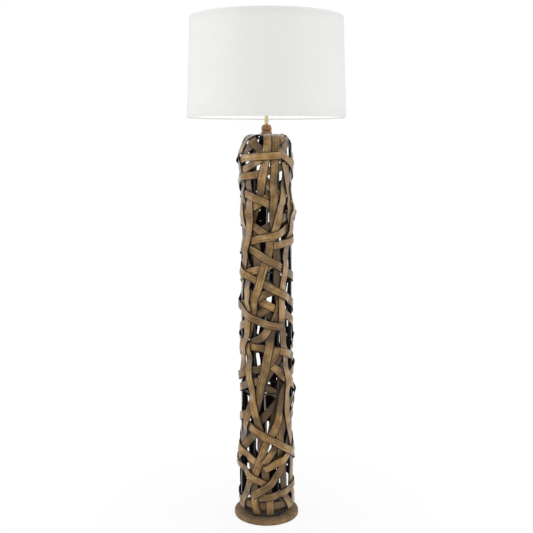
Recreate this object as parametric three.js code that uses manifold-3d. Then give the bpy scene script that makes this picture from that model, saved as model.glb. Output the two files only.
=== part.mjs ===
// Rattan floor lamp: an open column of flat rattan strips woven over an iron cage, on a weighted
// cane-wrapped disc, with a turned collar, a brass neck, a lamp holder and a near-straight drum shade.
// Millimetres, +Z up, the origin on the floor under the middle of the base, the front towards -Y.

import * as THREE from 'three';
import Module from 'manifold-3d';
import { mergeVertices } from 'three/addons/utils/BufferGeometryUtils.js';

const wasm = await Module();
wasm.setup();

// Driving dimensions of the whole lamp
const lampHeight = 1560;
const shadeHeight = 298;
const shadeTopRadius = 231;
const shadeFlare = 11.5;
const baseRadius = 102.7;
const baseThickness = 18.5;
const weaveFootRadius = 79;
const weaveTopRadius = 75;
const neckShow = 56;
const shoulderRadius = 28;

// Fits
const seatGap = 0.3;
const cutOverrun = 2;

// Rattan strips
const stripWidth = 24;
const stripThickness = 2.36;
const stripLayerGap = 1.39;
const cageGap = 1.6;
const stripStep = 16;
const stripFineStep = 2;
const stripClimbShare = 0.45;
const settleTurns = 40;
const mostTurns = 5;
const settleRounds = 60;
const settleSink = 0.985;
const settleSlack = 0.4;
const settleUnit = 1;
const stakeRank = -1;
const stakeStepShare = 0.35;
const shoulderStepShare = 2;
const stripFootHeight = 24;

// Base
const feltThickness = 2;
const feltInset = 7;
const plateInset = 5.5;
const wrapTopThickness = 4.5;
const wrapRimRound = 6;
const rodSocketDepth = 8;

// Iron cage
const rodRadius = 3;
const rodCount = 6;
const rodFirstAngle = 90;
const cageRingShares = [0.34, 0.67];
const footRingLift = 2.5;
const hubRadius = 22;

// Neck
const pipeRadius = 5;
const pipeBoreRadius = 3.7;
const pipeBelowHub = 14;
const nutRadius = 10;
const nutHeight = 6;
const collarRadius = 16.5;
const collarHeight = 38;
const collarGrooveDepth = 3;
const sleeveRadius = 7;
const sleeveHeight = 36;

// Lamp holder, bulb and harp
const saddleThickness = 2.5;
const saddleHalfLength = 27;
const saddleWidth = 12;
const holderRadius = 17;
const holderCapHeight = 20;
const holderShellHeight = 44;
const holderWall = 1.2;
const linerWall = 1.6;
const knobRadius = 6;
const knobLength = 14;
const knobStemRadius = 2.5;
const knobStemLength = 9;
const bulbRadius = 30;
const bulbLength = 96;
const bulbCapRadius = 13.3;
const bulbCapDepth = 26;
const harpWireRadius = 2;
const harpHalfWidth = 54;
const harpFootHeight = 12;
const finialRadius = 9;
const finialHeight = 22;
const harpStudRadius = 2.6;
const harpStudHeight = 12;

// Shade
const fabricThickness = 1.4;
const shadeWireRadius = 2;
const spiderRecess = 24;
const spiderSpokes = 3;
const spiderSpokeRadius = 1.6;
const spiderWasherRadius = 13;
const spiderWasherThickness = 4;

// Lamp lead and its bushing in the middle of the base
const leadRadius = 3;
const leadSlack = 7;
const bushingFlangeRadius = 10;
const bushingFlangeHeight = 2.5;
const bushingWall = 2.6;

// Places worked out from the sizes above
const shadeBottom = lampHeight - shadeHeight;
const shadeBottomRadius = shadeTopRadius + shadeFlare;
const crownHeight = shadeBottom - neckShow;
const plateBottom = feltThickness + seatGap;
const plateTop = baseThickness - wrapTopThickness - seatGap;
const plateRadius = baseRadius - plateInset;
const wallTop = crownHeight - shoulderRadius;
const wallHeight = wallTop - stripFootHeight;
const rodSetback = cageGap + rodRadius;
const hubTop = crownHeight - cageGap;
const hubThickness = 2 * rodRadius;
const hubBottom = hubTop - hubThickness;
const collarBottom = hubTop + seatGap;
const sleeveBottom = collarBottom + collarHeight + seatGap;
const saddleBottom = sleeveBottom + sleeveHeight + seatGap;
const holderBottom = saddleBottom + saddleThickness + seatGap;
const shellBottom = holderBottom + holderCapHeight + seatGap;
const shellTop = shellBottom + holderShellHeight;
const spiderHeight = lampHeight - spiderRecess;
const pipeBottom = hubBottom - pipeBelowHub;
const pipeTop = holderBottom + holderCapHeight / 2;

// Face counts
const roundSides = 24;
const shadeSides = 72;
const wireSides = 5;
const smallSides = 12;
const leadSteps = 44;
const harpSteps = 40;
const spokeSteps = 5;

const material = (color, roughness, metalness) => new THREE.MeshStandardMaterial({ color, roughness, metalness });
const rattan = material(0xa98558, 0.62, 0);
const paleRattan = material(0xb9a27e, 0.6, 0);
const cane = material(0x8f7346, 0.7, 0);
const iron = material(0x1d1a18, 0.55, 0.8);
const steel = material(0xb8b6b0, 0.4, 0.9);
const brass = material(0xb9ae81, 0.32, 0.85);
const turnedWood = material(0xa2865f, 0.5, 0);
const fabric = material(0xeaeae8, 0.9, 0);
const felt = material(0x2a2622, 0.95, 0);
const blackPlastic = material(0x191919, 0.4, 0);
const card = material(0xd8cfb8, 0.8, 0);
const opalGlass = material(0xf6f3ea, 0.25, 0);
const clearVinyl = material(0xbdbcc0, 0.3, 0);

const group = new THREE.Group();

function addPart(name, geometry, finish) {
  const mesh = new THREE.Mesh(geometry, finish);
  mesh.name = name;
  group.add(mesh);
  return mesh;
}

// Booleans on closed meshes
function toSolid(geometry) {
  let plain = geometry.clone();
  plain.deleteAttribute('normal');
  plain.deleteAttribute('uv');
  plain = mergeVertices(plain, seatGap / 1000);
  return new wasm.Manifold(new wasm.Mesh({
    numProp: 3,
    vertProperties: new Float32Array(plain.attributes.position.array),
    triVerts: new Uint32Array(plain.index.array),
  }));
}

function toGeometry(solid) {
  const mesh = solid.getMesh();
  const geometry = new THREE.BufferGeometry();
  geometry.setAttribute('position', new THREE.BufferAttribute(new Float32Array(mesh.vertProperties), 3));
  geometry.setIndex(new THREE.BufferAttribute(new Uint32Array(mesh.triVerts), 1));
  geometry.computeVertexNormals();
  return geometry;
}

function joined(geometries) {
  return toGeometry(geometries.map(toSolid).reduce((sum, next) => sum.add(next)));
}

function cut(geometry, cutters) {
  return toGeometry(cutters.map(toSolid).reduce((rest, next) => rest.subtract(next), toSolid(geometry)));
}

// A closed solid of revolution about Z from a list of radius and height pairs
function turned(profile, sides = roundSides) {
  const points = profile.map(([radius, height]) => new THREE.Vector2(radius, height));
  const geometry = new THREE.LatheGeometry(points, sides);
  geometry.rotateX(Math.PI / 2);
  return geometry;
}

function ringProfile(inner, outer, bottom, top) {
  return [[inner, bottom], [outer, bottom], [outer, top], [inner, top], [inner, bottom]];
}

function upright(radius, bottom, top, sides = smallSides) {
  const geometry = new THREE.CylinderGeometry(radius, radius, top - bottom, sides);
  geometry.rotateX(Math.PI / 2);
  geometry.translate(0, 0, (top + bottom) / 2);
  return geometry;
}

// A round wire along a curve
function wire(curve, radius, steps, sides = wireSides, closed = false) {
  const section = new THREE.Shape();
  for (let i = 0; i < sides; i += 1) {
    const turn = (2 * Math.PI * i) / sides;
    const x = radius * Math.cos(turn);
    const y = radius * Math.sin(turn);
    if (i === 0) section.moveTo(x, y);
    else section.lineTo(x, y);
  }
  section.closePath();
  return new THREE.ExtrudeGeometry(section, { steps, extrudePath: curve, bevelEnabled: false, closed });
}

// A wire ring about Z, as a small turned torus
function wireRing(ringRadius, height, radius, sides = roundSides + smallSides / 2) {
  const profile = [];
  for (let i = 0; i <= wireSides; i += 1) {
    const turn = (2 * Math.PI * i) / wireSides;
    profile.push([ringRadius + radius * Math.cos(turn), height + radius * Math.sin(turn)]);
  }
  return turned(profile, sides);
}

// The surface that the inmost strips lie on: a slightly flared wall, a round shoulder and a flat crown.
// Marks run up the wall from the foot and then along the shoulder and in over the crown.
const footMarkShare = 24;
const shoulderMarkShare = 1210;
const rulerUnit = wallHeight / (shoulderMarkShare - footMarkShare);
const shoulderLength = (shoulderRadius * Math.PI) / 2;

function weaveRadiusAt(height) {
  const share = THREE.MathUtils.clamp((height - stripFootHeight) / wallHeight, 0, 1);
  return THREE.MathUtils.lerp(weaveFootRadius, weaveTopRadius, share);
}

function weavePoint(angle, mark, lift) {
  const turn = THREE.MathUtils.degToRad(angle);
  const along = (mark - footMarkShare) * rulerUnit;
  let radius = weaveRadiusAt(stripFootHeight + along) + lift;
  let height = stripFootHeight + along;
  if (along > wallHeight) {
    const bend = Math.min((along - wallHeight) / shoulderRadius, Math.PI / 2);
    const inward = Math.max(along - wallHeight - shoulderLength, 0);
    radius = weaveTopRadius - shoulderRadius + (shoulderRadius + lift) * Math.cos(bend) - inward;
    height = wallTop + (shoulderRadius + lift) * Math.sin(bend);
  }
  return new THREE.Vector3(radius * Math.sin(turn), -radius * Math.cos(turn), height);
}

// Base: felt, iron weight, cane wrapping and the bushing that the lead passes through
const bushingRadius = leadRadius + seatGap + bushingWall;
const bushingHole = bushingRadius + seatGap;
const rodFootRadius = weaveFootRadius - rodSetback;
const rodTopRadius = weaveTopRadius - rodSetback;

function rodAngle(index) {
  return THREE.MathUtils.degToRad(rodFirstAngle + (360 * index) / rodCount);
}

function rodHoles(bottom, top) {
  const holes = [];
  for (let i = 0; i < rodCount; i += 1) {
    const hole = upright(rodRadius + seatGap, bottom, top, wireSides * 2);
    hole.translate(rodFootRadius * Math.sin(rodAngle(i)), -rodFootRadius * Math.cos(rodAngle(i)), 0);
    holes.push(hole);
  }
  return holes;
}

function addBase() {
  addPart('base_felt', turned(ringProfile(bushingHole, baseRadius - feltInset, 0, feltThickness), roundSides * 2), felt);

  const plate = turned(ringProfile(bushingHole, plateRadius, plateBottom, plateTop), roundSides * 2);
  addPart('base_plate', cut(plate, rodHoles(plateTop - rodSocketDepth, plateTop + cutOverrun)), iron);

  const rim = new THREE.Shape();
  const inner = plateRadius + seatGap;
  const underside = plateBottom;
  rim.moveTo(inner, underside);
  rim.lineTo(baseRadius - wrapRimRound / 2, underside);
  rim.quadraticCurveTo(baseRadius, underside, baseRadius, underside + wrapRimRound / 2);
  rim.lineTo(baseRadius, baseThickness - wrapRimRound);
  rim.quadraticCurveTo(baseRadius, baseThickness, baseRadius - wrapRimRound, baseThickness);
  rim.lineTo(bushingHole, baseThickness);
  rim.lineTo(bushingHole, plateTop + seatGap);
  rim.lineTo(inner, plateTop + seatGap);
  rim.closePath();
  const profile = rim.getPoints(2).map((point) => [point.x, point.y]);
  if (profile[0][0] !== profile.at(-1)[0] || profile[0][1] !== profile.at(-1)[1]) profile.push(profile[0]);
  const wrapHoles = rodHoles(plateTop - cutOverrun, baseThickness + cutOverrun);
  addPart('base_cane_wrap', cut(turned(profile, roundSides * 2), wrapHoles), cane);

  const flangeBottom = baseThickness + seatGap;
  const bore = leadRadius + seatGap;
  addPart('lead_bushing', turned([
    [bore, feltThickness],
    [bushingRadius, feltThickness],
    [bushingRadius, flangeBottom],
    [bushingFlangeRadius, flangeBottom],
    [bushingFlangeRadius, flangeBottom + bushingFlangeHeight / 2],
    [bushingRadius, flangeBottom + bushingFlangeHeight],
    [bore, flangeBottom + bushingFlangeHeight],
    [bore, feltThickness],
  ], smallSides), blackPlastic);
}

// Iron cage: six rods that bend over the shoulder into a hub, welded to four rings
function addCage() {
  const pieces = [];
  const rodFoot = plateTop - rodSocketDepth + seatGap;
  const armRadius = shoulderRadius - rodSetback;
  const armCentre = weaveTopRadius - shoulderRadius;
  for (let i = 0; i < rodCount; i += 1) {
    const turn = rodAngle(i);
    const out = new THREE.Vector3(Math.sin(turn), -Math.cos(turn), 0);
    const at = (radius, height) => out.clone().multiplyScalar(radius).setZ(height);
    const straight = new THREE.LineCurve3(at(rodFootRadius, rodFoot), at(rodTopRadius, wallTop));
    pieces.push(wire(straight, rodRadius, 1));
    const bendPoints = [];
    const bendSteps = 6;
    for (let k = 0; k <= bendSteps; k += 1) {
      const bend = (Math.PI / 2) * (k / bendSteps);
      bendPoints.push(at(armCentre + armRadius * Math.cos(bend), wallTop + armRadius * Math.sin(bend)));
    }
    bendPoints.unshift(at(rodTopRadius, wallTop - rodRadius));
    bendPoints.push(at(hubRadius - rodRadius, wallTop + armRadius));
    pieces.push(wire(new THREE.CatmullRomCurve3(bendPoints), rodRadius, bendSteps + 2));
  }
  const footRing = baseThickness + footRingLift + rodRadius;
  pieces.push(wireRing(rodFootRadius, footRing, rodRadius));
  for (const share of cageRingShares) {
    const height = THREE.MathUtils.lerp(stripFootHeight, wallTop, share);
    pieces.push(wireRing(weaveRadiusAt(height) - rodSetback, height, rodRadius));
  }
  pieces.push(wireRing(rodTopRadius, wallTop, rodRadius));
  pieces.push(turned(ringProfile(pipeRadius + seatGap, hubRadius, hubBottom, hubTop), smallSides * 2));
  const welded = joined(pieces);
  addPart('iron_cage', cut(welded, [upright(pipeRadius + seatGap, hubBottom - cutOverrun, hubTop + cutOverrun)]), iron);
}

// Neck: a threaded pipe held by a nut under the hub, a turned collar and a brass sleeve
function addNeck() {
  const boreOverPipe = pipeRadius + seatGap;
  addPart('neck_pipe', turned(ringProfile(pipeBoreRadius, pipeRadius, pipeBottom, pipeTop), smallSides), steel);

  const nutTop = hubBottom - seatGap;
  const nut = new THREE.CylinderGeometry(nutRadius, nutRadius, nutHeight, 6);
  nut.rotateX(Math.PI / 2);
  nut.translate(0, 0, nutTop - nutHeight / 2);
  addPart('lock_nut', cut(nut, [upright(boreOverPipe, nutTop - nutHeight - cutOverrun, nutTop + cutOverrun)]), steel);

  const lowShare = 0.42;
  const grooveShare = 0.5;
  const domeShare = 0.72;
  const low = collarBottom + collarHeight * lowShare;
  const groove = collarBottom + collarHeight * grooveShare;
  const dome = collarBottom + collarHeight * domeShare;
  const top = collarBottom + collarHeight;
  addPart('neck_collar', turned([
    [boreOverPipe, collarBottom],
    [collarRadius, collarBottom],
    [collarRadius, low - collarGrooveDepth],
    [collarRadius - collarGrooveDepth / 2, low],
    [collarRadius - collarGrooveDepth, groove],
    [collarRadius - collarGrooveDepth / 3, dome - collarGrooveDepth],
    [collarRadius - collarGrooveDepth / 3, dome],
    [(collarRadius + sleeveRadius) / 2, (dome + top) / 2 + collarGrooveDepth / 2],
    [sleeveRadius + collarGrooveDepth / 2, top],
    [boreOverPipe, top],
    [boreOverPipe, collarBottom],
  ]), turnedWood);

  const sleeve = ringProfile(boreOverPipe, sleeveRadius, sleeveBottom, sleeveBottom + sleeveHeight);
  addPart('neck_sleeve', turned(sleeve, smallSides * 2), brass);
}

// Lamp holder: saddle, cap, shell, card liner, switch knob and bulb
function addHolder() {
  const boreOverPipe = pipeRadius + seatGap;
  const saddle = new THREE.BoxGeometry(2 * saddleHalfLength, saddleWidth, saddleThickness);
  saddle.translate(0, 0, saddleBottom + saddleThickness / 2);
  const ears = [-1, 1].map((side) => {
    const ear = new THREE.BoxGeometry(saddleThickness, saddleWidth, harpFootHeight);
    ear.translate(side * (saddleHalfLength - saddleThickness / 2), 0, saddleBottom + harpFootHeight / 2);
    return ear;
  });
  const bore = upright(boreOverPipe, saddleBottom - cutOverrun, saddleBottom + saddleThickness + cutOverrun);
  addPart('harp_saddle', cut(joined([saddle, ...ears]), [bore]), brass);

  const capTop = holderBottom + holderCapHeight;
  const shoulder = holderBottom + holderCapHeight / 3;
  const capInner = holderRadius - holderWall;
  addPart('holder_cap', turned([
    [boreOverPipe, holderBottom],
    [sleeveRadius + holderWall, holderBottom],
    [holderRadius - holderWall, shoulder],
    [holderRadius, capTop - holderWall],
    [holderRadius, capTop],
    [capInner, capTop],
    [capInner - holderWall, shoulder + holderWall],
    [boreOverPipe, holderBottom + holderCapHeight / 2],
    [boreOverPipe, holderBottom],
  ], roundSides), brass);

  const knobHeight = shellBottom + holderShellHeight / 2;
  const stemHole = new THREE.CylinderGeometry(knobStemRadius + seatGap, knobStemRadius + seatGap, holderRadius * 2, smallSides);
  stemHole.translate(0, -holderRadius - holderWall, knobHeight);
  const shell = turned(ringProfile(holderRadius - holderWall, holderRadius, shellBottom, shellTop), smallSides * 2);
  addPart('holder_shell', cut(shell, [stemHole]), brass);

  const linerOuter = holderRadius - holderWall - seatGap;
  const linerInner = linerOuter - linerWall;
  const linerFloor = shellBottom + linerWall;
  const liner = turned([
    [0, shellBottom],
    [linerOuter, shellBottom],
    [linerOuter, shellTop - linerWall],
    [linerInner, shellTop - linerWall],
    [linerInner, linerFloor],
    [0, linerFloor],
  ], smallSides * 2);
  addPart('holder_liner', cut(liner, [stemHole]), card);

  const stem = new THREE.CylinderGeometry(knobStemRadius, knobStemRadius, knobStemLength + holderWall, smallSides);
  const stemInner = holderRadius - holderWall - seatGap;
  stem.translate(0, -stemInner - (knobStemLength + holderWall) / 2, knobHeight);
  const knob = new THREE.CylinderGeometry(knobRadius, knobRadius * 0.8, knobLength, smallSides / 2);
  knob.translate(0, -stemInner - knobStemLength - knobLength / 2, knobHeight);
  addPart('switch_knob', joined([stem, knob]), blackPlastic);

  const capBottom = shellTop - bulbCapDepth;
  const neckShares = [[0.12, 0.47], [0.34, 0.72], [0.5, 0.93], [0.66, 1], [0.82, 0.87], [0.93, 0.55], [1, 0]];
  const profile = [[0, capBottom], [bulbCapRadius, capBottom + seatGap * 2], [bulbCapRadius, shellTop]];
  for (const [heightShare, radiusShare] of neckShares) {
    profile.push([bulbRadius * radiusShare, shellTop + bulbLength * heightShare]);
  }
  addPart('bulb', turned(profile, smallSides + smallSides / 2), opalGlass);
}

// Harp: a bent wire bow from the saddle's ears to a stud under the finial
function addHarp() {
  const foot = saddleBottom + saddleThickness + harpFootHeight / 2;
  const top = spiderHeight - spiderWasherThickness / 2 - seatGap - harpWireRadius;
  const footX = saddleHalfLength + harpWireRadius + seatGap;
  const rise = top - foot;
  const bowShares = [[1, 0.06], [1, 0.16], [1.35, 0.3], [1.95, 0.5], [2, 0.66], [1.75, 0.82], [1.1, 0.94], [0.4, 0.99]];
  const bowX = (share) => THREE.MathUtils.mapLinear(share, 1, 2, footX, harpHalfWidth);
  const half = bowShares.map(([xShare, zShare]) => {
    const x = xShare < 1 ? footX * xShare : bowX(xShare);
    return new THREE.Vector3(x, 0, foot + rise * zShare);
  });
  const right = [new THREE.Vector3(footX, 0, foot), ...half];
  const left = right.map((point) => new THREE.Vector3(-point.x, 0, point.z)).reverse();
  const bow = new THREE.CatmullRomCurve3([...right, new THREE.Vector3(0, 0, top), ...left]);
  const stud = upright(harpStudRadius, top, spiderHeight + harpStudHeight, smallSides);
  addPart('harp', joined([wire(bow, harpWireRadius, harpSteps), stud]), brass);

  const seat = spiderHeight + spiderWasherThickness / 2 + seatGap;
  const tip = seat + finialHeight;
  const bore = harpStudRadius + seatGap;
  const boreTop = spiderHeight + harpStudHeight + seatGap;
  addPart('finial', turned([
    [bore, seat],
    [finialRadius * 0.8, seat],
    [finialRadius * 0.8, seat + finialHeight * 0.1],
    [finialRadius * 0.45, seat + finialHeight * 0.25],
    [finialRadius, seat + finialHeight * 0.55],
    [finialRadius * 0.7, seat + finialHeight * 0.85],
    [0, tip],
    [0, boreTop],
    [bore, boreTop],
    [bore, seat],
  ], smallSides), brass);
}

// Drum shade: laminated fabric on two wire rings, the upper one with a three-armed spider
function addShade() {
  const slope = (shadeBottomRadius - shadeTopRadius) / shadeHeight;
  addPart('shade_fabric', turned([
    [shadeBottomRadius - fabricThickness, shadeBottom],
    [shadeBottomRadius, shadeBottom],
    [shadeTopRadius, lampHeight],
    [shadeTopRadius - fabricThickness, lampHeight],
    [shadeBottomRadius - fabricThickness, shadeBottom],
  ], shadeSides), fabric);

  const wireInset = fabricThickness + seatGap + shadeWireRadius;
  const edgeInset = shadeWireRadius + seatGap;
  const upperHeight = lampHeight - edgeInset;
  const upperRadius = shadeTopRadius + slope * edgeInset - wireInset;
  const lowerRadius = shadeBottomRadius - slope * edgeInset - wireInset;
  addPart('shade_lower_ring', wireRing(lowerRadius, shadeBottom + edgeInset, shadeWireRadius, shadeSides / 2), steel);

  const pieces = [wireRing(upperRadius, upperHeight, shadeWireRadius, shadeSides / 2)];
  for (let i = 0; i < spiderSpokes; i += 1) {
    const turn = (2 * Math.PI * i) / spiderSpokes;
    const at = (radius, height) => new THREE.Vector3(radius * Math.cos(turn), radius * Math.sin(turn), height);
    const dropShare = 0.18;
    pieces.push(wire(new THREE.CatmullRomCurve3([
      at(upperRadius, upperHeight),
      at(upperRadius * (1 - dropShare / 4), upperHeight - spiderRecess / 3),
      at(upperRadius * (1 - dropShare), spiderHeight),
      at(spiderWasherRadius - spiderSpokeRadius * 2, spiderHeight),
    ]), spiderSpokeRadius, spokeSteps));
  }
  const washerBottom = spiderHeight - spiderWasherThickness / 2;
  pieces.push(upright(spiderWasherRadius, washerBottom, washerBottom + spiderWasherThickness, smallSides + 8));
  const hole = upright(harpStudRadius + seatGap, washerBottom - cutOverrun * 2, spiderHeight + cutOverrun * 2);
  addPart('shade_spider', cut(joined(pieces), [hole]), steel);
}

// Clear lamp lead: it hangs in the column between the pipe and the bushing, a little slack.
// Each point is a sideways and a forward share of the slack, and a share of the way up.
const leadRouteShares = [
  [0, 0, 0.985],
  [0.14, 0, 0.942],
  [0, -0.29, 0.883],
  [0.43, 0, 0.82],
  [0, 0.29, 0.753],
  [0.43, 0, 0.69],
  [1, 0, 0.661],
  [0, -0.29, 0.627],
  [-0.43, 0, 0.573],
  [0, 0.29, 0.498],
  [-0.57, -0.29, 0.431],
  [-0.86, 0, 0.352],
  [-0.43, 0.29, 0.273],
  [0.14, 0, 0.189],
  [0.29, -0.29, 0.106],
  [0, 0, 0.044],
];

function addLead() {
  const bottom = feltThickness + seatGap;
  const place = ([x, y, share]) => new THREE.Vector3(x * leadSlack, y * leadSlack, THREE.MathUtils.lerp(bottom, pipeBottom, share));
  const route = [
    new THREE.Vector3(0, 0, hubBottom),
    ...leadRouteShares.map(place),
    new THREE.Vector3(0, 0, bottom),
  ];
  addPart('lamp_lead', wire(new THREE.CatmullRomCurve3(route), leadRadius, leadSteps, wireSides + 1), clearVinyl);
}

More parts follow.
